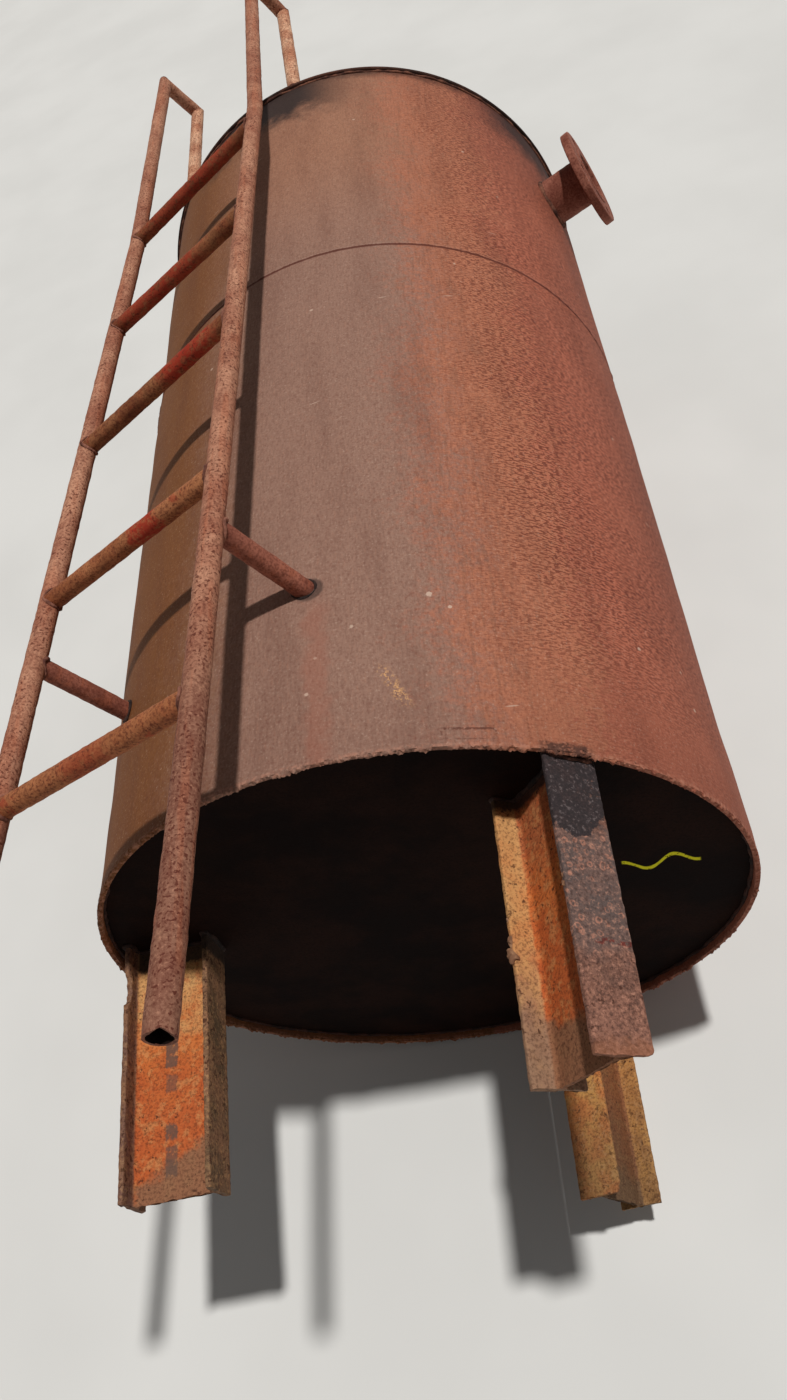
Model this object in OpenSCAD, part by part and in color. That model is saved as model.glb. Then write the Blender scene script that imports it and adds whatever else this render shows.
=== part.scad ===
// Small cylindrical steel tank that lies on its side.
// It was made to stand on three I-section legs, with a pipe ladder beside it.
// As it lies, +Y runs from the leg end to the roof end and +Z is up.
// Angles are seen from the leg end, in degrees anticlockwise from the +X side.

/* [Tank] */

// Outside diameter of the rolled shell
tank_d = 825; // [700:1:950]
// Length of the shell from the leg rim to the roof plate
tank_len = 1524; // [1470:1:1700]
// Thickness of the rolled shell plate
shell_t = 6; // [4:0.5:10]
// Distance from the leg rim to the middle of the girth weld
girth_y = 920; // [860:1:960]
// Width of the root gap that the girth weld fills
girth_gap = 6; // [4:0.5:10]
// Height of the girth weld above the plate
girth_proud = 1; // [0.5:0.1:1.4]
// Thickness of the two end plates
end_t = 6; // [4:0.5:10]
// How far the bottom plate sits inside the leg rim
bottom_recess = 12; // [4:0.5:25]
// How far the roof plate stands out past the shell
roof_lip = 7; // [3:0.5:15]

/* [Legs] */

// Depth of the I section, along the tank's radius
leg_depth = 112; // [90:1:120]
// Width of the leg flanges
leg_width = 59; // [50:1:64]
// Thickness of the leg flanges
leg_flange_t = 6.5; // [5:0.5:9]
// Thickness of the leg web
leg_web_t = 5; // [4:0.5:8]
// Radius of the fillets between web and flanges
leg_fillet_r = 7; // [4:0.5:9]
// Length of the top right leg past the leg rim
leg_len = 293; // [200:1:400]
// Angle of the top right leg
top_right_angle = 56; // [50:0.5:62]
// Distance from the shell's bore in to the top right leg's outer flange
top_right_inset = 4.5; // [4.5:0.5:30]
// Turn of the top right leg about its own axis, in degrees
top_right_turn = -5; // [-5:0.5:5]
// Angle of the left leg
left_angle = 170; // [164:0.5:176]
// Distance from the shell's bore in to the left leg's outer flange
left_inset = 17; // [12:0.5:30]
// Turn of the left leg about its own axis, in degrees
left_turn = 9.5; // [0:0.5:12]
// Inward lean of the bent left leg, in degrees
left_lean_in = 3.3; // [0:0.1:4]
// Downward lean of the bent left leg, in degrees
left_lean_down = 1.9; // [0:0.1:4]
// Angle of the low right leg
low_right_angle = 297.5; // [292:0.5:304]
// Distance from the shell's bore in to the low right leg's outer flange
low_right_inset = 8; // [6:0.5:30]
// Turn of the low right leg about its own axis, in degrees
low_right_turn = -3.5; // [-6:0.5:6]
// How much shorter the low right leg is
low_right_short = 10; // [0:1:40]

/* [Ladder] */

// Angle of the ladder's middle
ladder_angle = 115; // [109:1:121]
// Outside diameter of the ladder pipe
pipe_d = 26.7; // [22:0.1:30]
// Wall thickness of the ladder pipe
pipe_t = 2.9; // [2:0.1:4]
// Distance between the two stringers at the leg rim, centre to centre
ladder_w = 320; // [280:1:360]
// Distance from the shell to the stringers' axes, at the leg rim
ladder_gap = 111.5; // [90:0.5:150]
// Lean of the ladder towards the shell, in degrees
ladder_lean = 2.2; // [0.5:0.1:2.4]
// Inward lean of the right stringer, in degrees
stringer_lean = 0.8; // [0:0.1:1.5]
// Length of the stringers past the leg rim
stringer_tail = 306; // [200:1:400]
// Distance from the leg rim to the first rung
rung_first = 18; // [0:1:40]
// Spacing of the rungs
rung_step = 304; // [290:1:308]
// Distance from the leg rim to the two struts
strut_y = 236; // [200:1:260]

/* [Rails] */

// Distance from the leg rim to the weld below the left grab rail
left_joint_y = 1236; // [1230:1:1260]
// Distance from the leg rim to the weld below the right grab rail
right_joint_y = 1300; // [1270:1:1340]
// Distance from the leg rim to the outer corners of the grab rails
rail_top = 1888; // [1800:1:1950]
// How much further the inner corners of the grab rails reach
cross_rise = 18; // [0:1:30]
// Distance between a grab rail's two legs at the top
rail_depth = 90; // [80:1:110]
// Distance from the roof plate's edge in to the axes of the return legs
return_inset = 14; // [14:0.5:40]
// Inward lean of the right grab rail, in degrees
rail_lean = 2; // [0:0.1:4]
// Outward lean of the right grab rail, in degrees
rail_out = 1; // [0:0.1:2]

/* [Nozzle] */

// Angle of the nozzle
nozzle_angle = 20; // [6:1:36]
// Distance from the leg rim to the nozzle's axis
nozzle_y = 1350; // [1150:1:1400]
// Distance from the shell to the flange's joint face
nozzle_stub = 83.5; // [60:0.5:150]
// Outside diameter of the nozzle pipe
nozzle_d = 73; // [60:0.5:90]
// Wall thickness of the nozzle pipe
nozzle_t = 5.2; // [4:0.1:8]
// Outside diameter of the nozzle flange
flange_d = 177.8; // [165:0.1:190]
// Thickness of the nozzle flange
flange_t = 22; // [16:0.5:26]
// Diameter of the circle through the bolt holes
bolt_circle = 139.7; // [135:0.1:145]
// Diameter of the bolt holes
bolt_hole_d = 19; // [14:0.5:22]
// Diameter of the flange's raised face
raised_d = 104.8; // [96:0.1:112]
// Height of the flange's raised face
raised_t = 1.6; // [1:0.1:3]

/* [Hidden] */

$fn = 96;
// clearance where a curved face lies against another
seat = 0.3;
// distance that a cutting shape runs past what it cuts
over = 5;
// overlap that joins two shapes of one piece
joined = 1;
// size of the blocks that cut pieces along a plane
block = 2 * tank_d;
shell_r = tank_d / 2;
bore_r = shell_r - shell_t;
roof_r = shell_r + roof_lip;
// turn of the roof plate about the tank's axis, as it was laid on the shell
roof_turn = 0.677;
// legs as [angle, inset, turn, length past the rim, lean in, lean down]
leg_top_right_set = [top_right_angle, top_right_inset, top_right_turn, leg_len, 0, 0];
leg_left_set = [left_angle, left_inset, left_turn, leg_len, left_lean_in, left_lean_down];
leg_low_right_set = [low_right_angle, low_right_inset, low_right_turn,
    leg_len - low_right_short, 0, 0];
// bites out of the left leg's outer flange as [distance from the rim, radius, depth]
left_notches = [[31, 8, 8], [43, 9, 10], [54, 7, 7]];
// bites out of the low right leg's foot as [distance from the foot, radius, depth]
foot_bites = [[0, 9, 8], [9, 6, 5]];
pipe_r = pipe_d / 2;
pipe_bore = pipe_r - pipe_t;
// rungs and struts are a little thinner than the stringers
rung_r = pipe_r - 1;
// hand-set places of the rungs, and how much higher their left ends are
rung_shift = [0, 8, 18, 10, 0];
rung_rise = [22, 12, 0, 24, 8];
// radius and depth of the nick in the right stringer's lower end
nick_r = 6;
nick_depth = 4;
ladder_h = shell_r + ladder_gap;
roof_top = tank_len + end_t;
nozzle_r = nozzle_d / 2;
nozzle_reach = shell_r + nozzle_stub;
// how far the nozzle pipe runs into the tank, and how far its end stays behind the joint face
nozzle_inside = 8;
nozzle_setback = 6;
bolt_count = 4;
// outermost places of the part, which centre it on the origin
side_low = -roof_r;
side_high = (nozzle_reach - raised_t) * cos(nozzle_angle) + flange_d / 2 * sin(nozzle_angle);
mid_x = (side_low + side_high) / 2;
// how far a mitred corner stands out past the pipe's own radius
corner_tip = 2.3;
mid_y = (rail_top + cross_rise + pipe_r + corner_tip - stringer_tail) / 2;

// Lays the standing tank on its side, with its lowest line on the floor.
module laid() {
    translate([-mid_x, -mid_y, roof_r]) rotate([-90, 0, 0]) children();
}

// Turns local +X to a direction round the tank.
module facing(angle) {
    rotate([0, 0, -angle]) children();
}

// Moves local +Z onto the line from one point towards another.
module along(from, to) {
    run = to - from;
    translate(from) rotate([0, acos(run[2] / norm(run)), atan2(run[1], run[0])]) children();
}

// A plain tube along +Z.
module tube(r_out, r_in, z0, z1) {
    difference() {
        translate([0, 0, z0]) cylinder(r = r_out, h = z1 - z0);
        translate([0, 0, z0 - over]) cylinder(r = r_in, h = z1 - z0 + 2 * over);
    }
}

// Everything beyond a plane through a point, on the side its normal points to.
module beyond(point, normal) {
    along(point, point + normal) translate([-block / 2, -block / 2, 0]) cube(block);
}

// Shell course beside the legs, one rolled plate.
module shell_lower_course() {
    color("#7d4a3c") laid() tube(shell_r, bore_r, 0, girth_y - girth_gap / 2);
}

// Shell course beside the roof, with the hole for the nozzle.
module shell_upper_course() {
    color("#85503f") difference() {
        laid() tube(shell_r, bore_r, girth_y + girth_gap / 2, tank_len);
        nozzle_place() cylinder(r = nozzle_r + seat, h = nozzle_reach + over);
    }
}

// Weld metal that fills the gap between the courses and stands a little proud.
module girth_weld() {
    z0 = girth_y - girth_gap / 2;
    z1 = girth_y + girth_gap / 2;
    crown = shell_r + girth_proud;
    color("#6b4036") laid() rotate_extrude()
        polygon([[bore_r, z0], [shell_r, z0], [crown, z0 + girth_gap / 4],
            [crown, z1 - girth_gap / 4], [shell_r, z1], [bore_r, z1]]);
}

// Disc that closes the leg end, set inside the rim.
module bottom_plate() {
    color("#4a332c") laid() translate([0, 0, bottom_recess])
        cylinder(r = bore_r - seat, h = end_t);
}

// Disc that closes the roof end, laid on the shell with a narrow lip.
module roof_plate() {
    color("#5a3d34") laid() facing(roof_turn) translate([0, 0, tank_len])
        cylinder(r = roof_r, h = end_t);
}

// Outline of the I section, centred, with its depth along X.
module leg_section() {
    inner = leg_depth / 2 - leg_flange_t;
    half = leg_width / 2;
    web = leg_web_t / 2;
    open = half - web - leg_fillet_r + over;
    difference() {
        square([leg_depth, leg_width], center = true);
        for (side = [-1, 1]) {
            translate([0, side * (web + leg_fillet_r + open / 2)])
                square([2 * inner, open], center = true);
            translate([0, side * (web + leg_fillet_r)])
                square([2 * (inner - leg_fillet_r), 2 * leg_fillet_r], center = true);
            for (x = [leg_fillet_r - inner, inner - leg_fillet_r])
                translate([x, side * (web + leg_fillet_r)]) circle(r = leg_fillet_r);
        }
    }
}

// A leg's own frame: +X out along the section's depth, +Z up the leg to its root.
module leg_place(set) {
    laid() facing(set[0]) translate([bore_r - set[1] - leg_depth / 2, 0, bottom_recess])
        rotate([-set[5], set[4], -set[2]]) children();
}

// One leg, cut square at the foot and against the bottom plate at the root.
module leg(set) {
    difference() {
        leg_place(set) translate([0, 0, -bottom_recess - set[3]])
            linear_extrude(height = bottom_recess + set[3] + over) leg_section();
        laid() beyond([0, 0, bottom_recess], [0, 0, 1]);
    }
}

// A round cutter across one flange: side is 1 for outer and -1 for inner,
// edge is 1 or -1 for the flange's two edges.
module flange_bite(side, edge, z, r, depth) {
    translate([side * (leg_depth - leg_flange_t) / 2, edge * (leg_width / 2 + r - depth), z])
        rotate([0, 90, 0]) cylinder(r = r, h = leg_flange_t + 2 * over, center = true);
}

module leg_top_right() {
    color("#9a5a35") leg(leg_top_right_set);
}

// The left leg is bent, and its outer flange has a notch near the root.
module leg_left() {
    color("#9a5a35") difference() {
        leg(leg_left_set);
        leg_place(leg_left_set) for (bite = left_notches)
            flange_bite(1, 1, -bottom_recess - bite[0], bite[1], bite[2]);
    }
}

// The low right leg has a corner bitten off its inner flange at the foot.
module leg_low_right() {
    color("#9a5a35") difference() {
        leg(leg_low_right_set);
        leg_place(leg_low_right_set) for (bite = foot_bites)
            flange_bite(-1, -1, bite[0] - bottom_recess - leg_low_right_set[3], bite[1],
                bite[2]);
    }
}

// Ladder frame: local +X away from the shell, +Y to the right, +Z to the roof.
module ladder_place() {
    laid() facing(ladder_angle) children();
}

// Place on a stringer's axis at a height, side is 1 for right and -1 for left.
function stringer_at(side, z) =
    [ladder_h - tan(ladder_lean) * z,
        side * ladder_w / 2 - (side > 0 ? tan(stringer_lean) * z : 0), z];

// The five corners of one side's pipe run, from the sawn lower end to the roof plate.
function pipe_run(side) =
    let (joint = stringer_at(side, side > 0 ? right_joint_y : left_joint_y),
        rise = rail_top - joint[2],
        corner = joint + (side > 0 ? [tan(rail_out), -tan(rail_lean), 1] : [0, 0, 1]) * rise)
    [stringer_at(side, -stringer_tail), joint, corner,
        corner + [-rail_depth, 0, cross_rise],
        [sqrt(pow(roof_r - return_inset, 2) - pow(joint[1], 2)), joint[1], roof_top]];

// Direction from one point to another, of length 1.
function heading(from, to) = (to - from) / norm(to - from);

// Pipe number index of one side's run, mitred against its neighbours.
module run_pipe(side, index) {
    run = pipe_run(side);
    from = run[index];
    to = run[index + 1];
    first = index == 0;
    last = index == 3;
    ladder_place() difference() {
        along(from, to) tube(pipe_r, pipe_bore, first ? 0 : -pipe_d,
            norm(to - from) + pipe_d);
        if (!first) beyond(from, -heading(run[index - 1], from) - heading(from, to));
        if (last) beyond(to, [0, 0, -1]);
        else beyond(to, heading(from, to) + heading(to, run[index + 2]));
    }
}

// Solid rod along a stringer, used to cope what meets it.
module stringer_rod(side, r) {
    from = stringer_at(side, -stringer_tail);
    to = stringer_at(side, tank_len);
    along(from, to) cylinder(r = r, h = norm(to - from));
}

module stringer_left() {
    color("#7a4a44") run_pipe(-1, 0);
}

// The right stringer has a nick in the outer side of its sawn end.
module stringer_right() {
    end = stringer_at(1, -stringer_tail);
    color("#7a4a44") difference() {
        run_pipe(1, 0);
        ladder_place() translate(end + [pipe_bore, 0, nick_depth - nick_r]) rotate([0, 90, 0])
            cylinder(r = nick_r, h = pipe_r);
    }
}

// One rung between the stringers, with its ends coped round them.
module rung(index) {
    z = rung_first + (index - 1) * rung_step + rung_shift[index - 1];
    lift = rung_rise[index - 1] / 2;
    from = stringer_at(-1, z + lift);
    to = stringer_at(1, z - lift);
    color("#84483a") ladder_place() difference() {
        along(from, to) tube(rung_r, rung_r - pipe_t, 0, norm(to - from));
        stringer_rod(-1, pipe_r + seat);
        stringer_rod(1, pipe_r + seat);
    }
}

module rung_1() { rung(1); }
module rung_2() { rung(2); }
module rung_3() { rung(3); }
module rung_4() { rung(4); }
module rung_5() { rung(5); }

// One strut from a stringer straight in to the shell, coped at both ends.
module strut(side) {
    from = stringer_at(side, strut_y);
    color("#7a4a44") difference() {
        ladder_place() along(from, from - [1, 0, 0]) tube(rung_r, rung_r - pipe_t, 0, ladder_h);
        ladder_place() stringer_rod(side, pipe_r + seat);
        laid() cylinder(r = shell_r + seat, h = tank_len);
    }
}

module strut_left() { strut(-1); }
module strut_right() { strut(1); }

// Grab rail post, which carries the stringer on up past the roof.
module rail_post_left() { color("#7a4a44") run_pipe(-1, 1); }
module rail_post_right() { color("#7a4a44") run_pipe(1, 1); }

// Short pipe across the top of a grab rail.
module rail_cross_left() { color("#7a4a44") run_pipe(-1, 2); }
module rail_cross_right() { color("#7a4a44") run_pipe(1, 2); }

// Return leg, which comes down onto the edge of the roof plate.
module rail_return_left() { color("#7a4a44") run_pipe(-1, 3); }
module rail_return_right() { color("#7a4a44") run_pipe(1, 3); }

// Frame of the nozzle: +Z out along its axis from the tank's axis.
module nozzle_place() {
    laid() facing(nozzle_angle) translate([0, 0, nozzle_y]) rotate([0, 90, 0]) children();
}

// Nozzle pipe, from just inside the shell to just behind the joint face.
module nozzle_pipe() {
    color("#7d4338") nozzle_place() tube(nozzle_r, nozzle_r - nozzle_t,
        bore_r - nozzle_inside, nozzle_reach - nozzle_setback);
}

// Slip-on flange with a raised face and its bolt holes.
module nozzle_flange() {
    back = nozzle_reach - raised_t - flange_t;
    through = flange_t + raised_t + 2 * over;
    color("#74413a") nozzle_place() difference() {
        union() {
            translate([0, 0, back]) cylinder(r = flange_d / 2, h = flange_t);
            translate([0, 0, back + flange_t - joined])
                cylinder(r = raised_d / 2, h = raised_t + joined);
        }
        translate([0, 0, back - over]) cylinder(r = nozzle_r + seat, h = through);
        for (i = [0:bolt_count - 1])
            rotate([0, 0, (i + 0.5) * 360 / bolt_count])
                translate([bolt_circle / 2, 0, back - over])
                    cylinder(r = bolt_hole_d / 2, h = through);
    }
}

shell_lower_course();
shell_upper_course();
girth_weld();
bottom_plate();
roof_plate();
leg_top_right();
leg_left();
leg_low_right();
stringer_left();
stringer_right();
rung_1();
rung_2();
rung_3();
rung_4();
rung_5();
strut_left();
strut_right();
rail_post_left();
rail_cross_left();
rail_return_left();
rail_post_right();
rail_cross_right();
rail_return_right();
nozzle_pipe();
nozzle_flange();
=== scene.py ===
"""Looks of a small rusted steel tank that lies on its side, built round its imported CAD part.

Every length is in metres in the part's own frame: +Y runs from the leg end to the roof end, and +Z is up.
Angles round the tank are in degrees from the +X side towards the top, seen from the leg end.
A colour of three parts is a screen colour, from 0 to 255, and one of four parts is linear, from 0 to 1.
"""

import logging  # noqa: E402
import math  # noqa: E402
from dataclasses import dataclass  # noqa: E402
from enum import Enum  # noqa: E402
from typing import Callable, Optional, Union  # noqa: E402

import bmesh  # noqa: E402
import bpy  # noqa: E402
import numpy as np  # noqa: E402
from mathutils import Matrix, Vector  # noqa: E402

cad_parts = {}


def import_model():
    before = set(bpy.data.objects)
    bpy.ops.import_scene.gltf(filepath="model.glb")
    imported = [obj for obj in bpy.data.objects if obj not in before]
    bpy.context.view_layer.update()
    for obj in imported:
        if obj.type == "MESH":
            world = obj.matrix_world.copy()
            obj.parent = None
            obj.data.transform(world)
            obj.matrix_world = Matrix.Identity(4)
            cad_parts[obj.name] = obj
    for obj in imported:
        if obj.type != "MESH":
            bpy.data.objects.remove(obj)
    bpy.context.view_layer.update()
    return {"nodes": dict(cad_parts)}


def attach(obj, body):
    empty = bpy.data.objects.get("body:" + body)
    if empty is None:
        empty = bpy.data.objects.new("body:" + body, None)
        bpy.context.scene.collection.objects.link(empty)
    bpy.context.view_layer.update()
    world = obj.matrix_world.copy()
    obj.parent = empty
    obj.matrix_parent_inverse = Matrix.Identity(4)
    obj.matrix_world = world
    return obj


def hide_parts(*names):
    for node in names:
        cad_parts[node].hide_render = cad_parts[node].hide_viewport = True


Array = np.ndarray
Material = bpy.types.Material
Colour = tuple[int, int, int]
Triple = tuple[float, float, float]
Value = Union["Wire", float]
Tint = Union["Wire", Colour]

LOG = logging.getLogger("tank")
BODY = "root"

# Place of the tank's axis and of its leg rim, and the sizes of the shell.
AXIS_X = -0.037745
AXIS_Z = 0.4195
RIM_Y = -0.807825
SHELL_R = 0.4125
PLATE_T = 0.006
BORE_R = SHELL_R - PLATE_T
ROOF_R = SHELL_R + 0.007
TANK_LEN = 1.524
RECESS = 0.012
SEAT = 0.0003

# Place of the nozzle, and the radius of its pipe.
NOZZLE_ANGLE = 20.0
NOZZLE_Y = 1.350
NOZZLE_R = 0.042

# The tank's axis in the part's frame, and on the standing tank.
DOWN_THE_TANK = np.array([0.0, 1.0, 0.0])
UP_THE_TANK = np.array([0.0, 0.0, 1.0])

# Length and depth of a weld bead's ripples, height of its lumps, and the number of its corners.
RIPPLE = 0.0042
RIPPLE_DEPTH = 0.13
LUMP_HEIGHT = 0.16
BEAD_COLUMNS = 8

# Waves in a random field, corners of a drilled hole, and the least angle of a sharp edge.
WAVES = 26
HOLE_COLUMNS = 64
SHARP = math.radians(50)

# How strongly dry rust mirrors its surroundings.
SHINE = 0.12


class Slot(Enum):
    """The record's material slots."""

    SHELL = "shell_steel"
    END_PLATE = "end_plate_steel"
    LEG = "leg_steel"
    PIPE = "pipe_steel"
    RUNG = "rung_steel"
    NOZZLE = "nozzle_steel"


def linear(colour: Colour) -> list[float]:
    """A screen colour as the four linear parts that a shader takes."""
    parts = [channel / 255 for channel in colour]
    return [part / 12.92 if part <= 0.04045 else ((part + 0.055) / 1.055) ** 2.4 for part in parts] + [1.0]


def lay(angle: float, points: Array) -> Array:
    """Turns points of the standing tank to where they are on the tank as it lies.

    Args:
        angle: direction round the tank that the points' own X faces, in degrees.
        points: X out from the tank's axis, Y to the right, Z from the leg rim to the roof.

    Returns:
        The points in the part's frame.
    """
    c, s = math.cos(math.radians(angle)), math.sin(math.radians(angle))
    x, y, z = points[..., 0], points[..., 1], points[..., 2]
    return np.stack([x * c + y * s + AXIS_X, z + RIM_Y, x * s - y * c + AXIS_Z], axis=-1)


def unit(vector: Array) -> Array:
    """The vector or vectors at length 1."""
    return vector / np.linalg.norm(vector, axis=-1, keepdims=True)


def circle_angles(count: int) -> Array:
    """Angles evenly spread round a circle."""
    return np.linspace(0, 2 * math.pi, count, endpoint=False)


def lumps(seed: int, size: float, points: Array) -> Array:
    """A smooth random field made of plane waves, the same in each run.

    Args:
        seed: start of the random draws.
        size: middle wavelength, in metres.
        points: where the field is taken.

    Returns:
        A value for each point, mostly between -2 and 2.
    """
    draw = np.random.default_rng(seed)
    directions = unit(draw.normal(size=(WAVES, 3)))
    lengths = size * draw.uniform(0.6, 1.6, WAVES)
    vectors = directions * (2 * math.pi / lengths)[:, None]
    phases = draw.uniform(0, 2 * math.pi, WAVES)
    return np.sin(points @ vectors.T + phases).sum(-1) * math.sqrt(2 / WAVES)


def placed(name: str, data: bpy.types.ID) -> bpy.types.Object:
    """Puts a new object into the scene.

    Args:
        name: the object's name.
        data: its mesh, lamp or camera.

    Returns:
        The object.
    """
    made = bpy.data.objects.new(name, data)
    bpy.context.scene.collection.objects.link(made)
    return made


class Surface:
    """Corners and faces of one piece, gathered from grids whose columns close on themselves."""

    def __init__(self) -> None:
        """Starts with nothing."""
        self.parts: list[Array] = []
        self.faces: list[list[int]] = []
        self.inner = range(0)
        self.count = 0

    def grid(self, points: Array, ring: bool = True) -> "Surface":
        """Adds a grid, whose last row joins its first, or whose two end rows are capped.

        Args:
            points: rows by columns by 3.
            ring: whether the last row joins the first.

        Returns:
            This surface.
        """
        rows, columns = points.shape[:2]
        first = self.count
        self.parts.append(points.reshape(-1, 3))
        self.count += rows * columns
        for row in range(rows if ring else rows - 1):
            here = first + row * columns
            there = first + (row + 1) % rows * columns
            for column in range(columns):
                after = (column + 1) % columns
                self.faces.append([here + column, here + after, there + after, there + column])
        if not ring:
            self.faces += [list(range(end, end + columns)) for end in (first, self.count - columns)]
        return self

    def bead(self, path: Array, radius: float, seed: int, up: Array = DOWN_THE_TANK,
             closed: bool = True) -> "Surface":
        """Adds a weld bead along a line, lumpy and rippled as hand welding is.

        Args:
            path: points of the line.
            radius: radius of the bead.
            seed: start of the random draws.
            up: a direction that is nowhere along the line.
            closed: whether the line ends where it began.

        Returns:
            This surface.
        """
        if closed:
            tangent = unit(np.roll(path, -1, axis=0) - np.roll(path, 1, axis=0))
        else:
            tangent = unit(np.gradient(path, axis=0))
        side = unit(np.cross(np.broadcast_to(up, tangent.shape), tangent))
        lift = np.cross(tangent, side)
        run = np.concatenate([[0], np.cumsum(np.linalg.norm(np.diff(path, axis=0), axis=1))])
        ripple = RIPPLE_DEPTH * np.abs(np.sin(run * math.pi / RIPPLE))
        swell = 1 + LUMP_HEIGHT * lumps(seed, 0.018, path) - ripple
        sizes = radius * np.clip(swell, 0.55, 1.35)
        if not closed:
            taper = np.sin(np.linspace(0.03, math.pi - 0.03, len(path)))
            sizes = sizes * np.sqrt(np.clip(taper * 3, 0, 1))
        centre = path + side * (0.25 * radius * lumps(seed + 1, 0.03, path))[:, None]
        angles = circle_angles(BEAD_COLUMNS)[None, :, None]
        round_it = np.cos(angles) * side[:, None] + np.sin(angles) * lift[:, None]
        return self.grid(centre[:, None] + round_it * sizes[:, None, None], ring=closed)

    def mesh(self, name: str) -> bpy.types.Mesh:
        """Makes a mesh whose faces all look outwards.

        Args:
            name: the mesh's name.

        Returns:
            The mesh.
        """
        made = bpy.data.meshes.new(name)
        made.from_pydata(np.concatenate(self.parts).tolist(), [], self.faces)
        turned = bmesh.new()
        turned.from_mesh(made)
        bmesh.ops.recalc_face_normals(turned, faces=turned.faces)
        turned.to_mesh(made)
        turned.free()
        return made

    def piece(self, name: str, slot: Slot, finish: Material, node: str = "",
              bore: Optional[Material] = None) -> bpy.types.Object:
        """Makes a piece on the part's body, and says what it stands for.

        Args:
            name: the piece's name.
            slot: the record's slot that it takes its finish from; not used.
            finish: its material.
            node: the CAD node that it stands for, if it stands for one.
            bore: the material of its inner faces, where they have their own.

        Returns:
            The piece.
        """
        mesh = self.mesh(name)
        for material in filter(None, (finish, bore)):
            mesh.materials.append(material)
        for index in self.inner:
            mesh.polygons[index].material_index = 1
        mesh.shade_smooth()
        mesh.set_sharp_from_angle(angle=SHARP)
        made = placed(name, mesh)
        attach(made, BODY)
        if node:
            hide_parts(node)
        LOG.info("%s: %d faces, for %s", name, len(mesh.polygons), node or "no node")
        return made


def drill(plate: bpy.types.Object, loops: list[Array]) -> None:
    """Cuts round holes through a piece's mesh.

    Args:
        plate: the piece.
        loops: the two end loops of each hole, 2 by columns by 3.
    """
    holes = Surface()
    for pair in loops:
        holes.grid(pair, ring=False)
    cutter = placed("drill", holes.mesh("drill"))
    cut = plate.modifiers.new("holes", "BOOLEAN")
    cut.object = cutter
    cut.operation = "DIFFERENCE"
    cut.solver = "EXACT"
    bpy.context.view_layer.update()
    graph = bpy.context.evaluated_depsgraph_get()
    done = bpy.data.meshes.new_from_object(plate.evaluated_get(graph))
    plate.modifiers.clear()
    plate.data = done
    bpy.data.objects.remove(cutter)


class Wire:
    """An output of a shader node, with arithmetic that adds Math nodes."""

    def __init__(self, tree: "Tree", socket: bpy.types.NodeSocket) -> None:
        """Keeps the tree and the socket."""
        self.tree = tree
        self.socket = socket

    def twin(self, output: Union[str, int]) -> "Wire":
        """Another output of the same node."""
        return Wire(self.tree, self.socket.node.outputs[output])

    def maths(self, operation: str, first: Value, second: Value = 0.0) -> "Wire":
        """One Math node on two values."""
        return self.tree.add("ShaderNodeMath", {0: first, 1: second}, operation=operation)

    def __add__(self, other: Value) -> "Wire":
        """self + other"""
        return self.maths("ADD", self, other)

    def __radd__(self, other: Value) -> "Wire":
        """other + self"""
        return self.maths("ADD", other, self)

    def __sub__(self, other: Value) -> "Wire":
        """self - other"""
        return self.maths("SUBTRACT", self, other)

    def __rsub__(self, other: Value) -> "Wire":
        """other - self"""
        return self.maths("SUBTRACT", other, self)

    def __mul__(self, other: Value) -> "Wire":
        """self * other"""
        return self.maths("MULTIPLY", self, other)

    def __rmul__(self, other: Value) -> "Wire":
        """other * self"""
        return self.maths("MULTIPLY", other, self)

    def __truediv__(self, other: Value) -> "Wire":
        """self / other"""
        return self.maths("DIVIDE", self, other)

    def size(self) -> "Wire":
        """The value without its sign."""
        return self.maths("ABSOLUTE", self)

    def larger(self, other: Value) -> "Wire":
        """The larger of two values."""
        return self.maths("MAXIMUM", self, other)

    def step(self, low: float, high: float) -> "Wire":
        """A smooth step, which falls where low is above high.

        Args:
            low: value at which it is 0.
            high: value at which it is 1.

        Returns:
            The step, from 0 to 1.
        """
        if low > high:
            return 1.0 - self.step(high, low)
        inputs = {"Value": self, "From Min": low, "From Max": high}
        return self.tree.add("ShaderNodeMapRange", inputs, interpolation_type="SMOOTHSTEP")

    def near(self, middle: float, outer: float, inner: float) -> "Wire":
        """A band: 1 within the inner distance of its middle, and 0 beyond the outer one."""
        return (self - middle).size().step(outer, inner)


class Tree:
    """A node tree, to which one method adds any node."""

    def __init__(self, tree: bpy.types.NodeTree) -> None:
        """Empties the tree."""
        self.nodes, self.links = tree.nodes, tree.links
        self.nodes.clear()

    def add(self, kind: str, inputs: dict, output: Union[str, int] = 0, **settings: str) -> Wire:
        """Adds any node.

        Args:
            kind: the node's type.
            inputs: values or wires of its sockets, by name or number.
            output: name or number of the socket that the wire comes from.
            settings: attributes of the node, which are set first.

        Returns:
            The output as a wire.
        """
        node = self.nodes.new(kind)
        for key, value in settings.items():
            setattr(node, key, value)
        for key, value in inputs.items():
            socket = node.inputs[key]
            if isinstance(value, Wire):
                self.links.new(value.socket, socket)
            elif socket.type == "RGBA" and len(value) == 3:
                socket.default_value = linear(value)
            else:
                socket.default_value = value
        return Wire(self, node.outputs[output])

    def close(self, kind: str, surface: Wire) -> None:
        """Joins a surface to a new output node."""
        self.links.new(surface.socket, self.nodes.new(kind).inputs[0])


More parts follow.
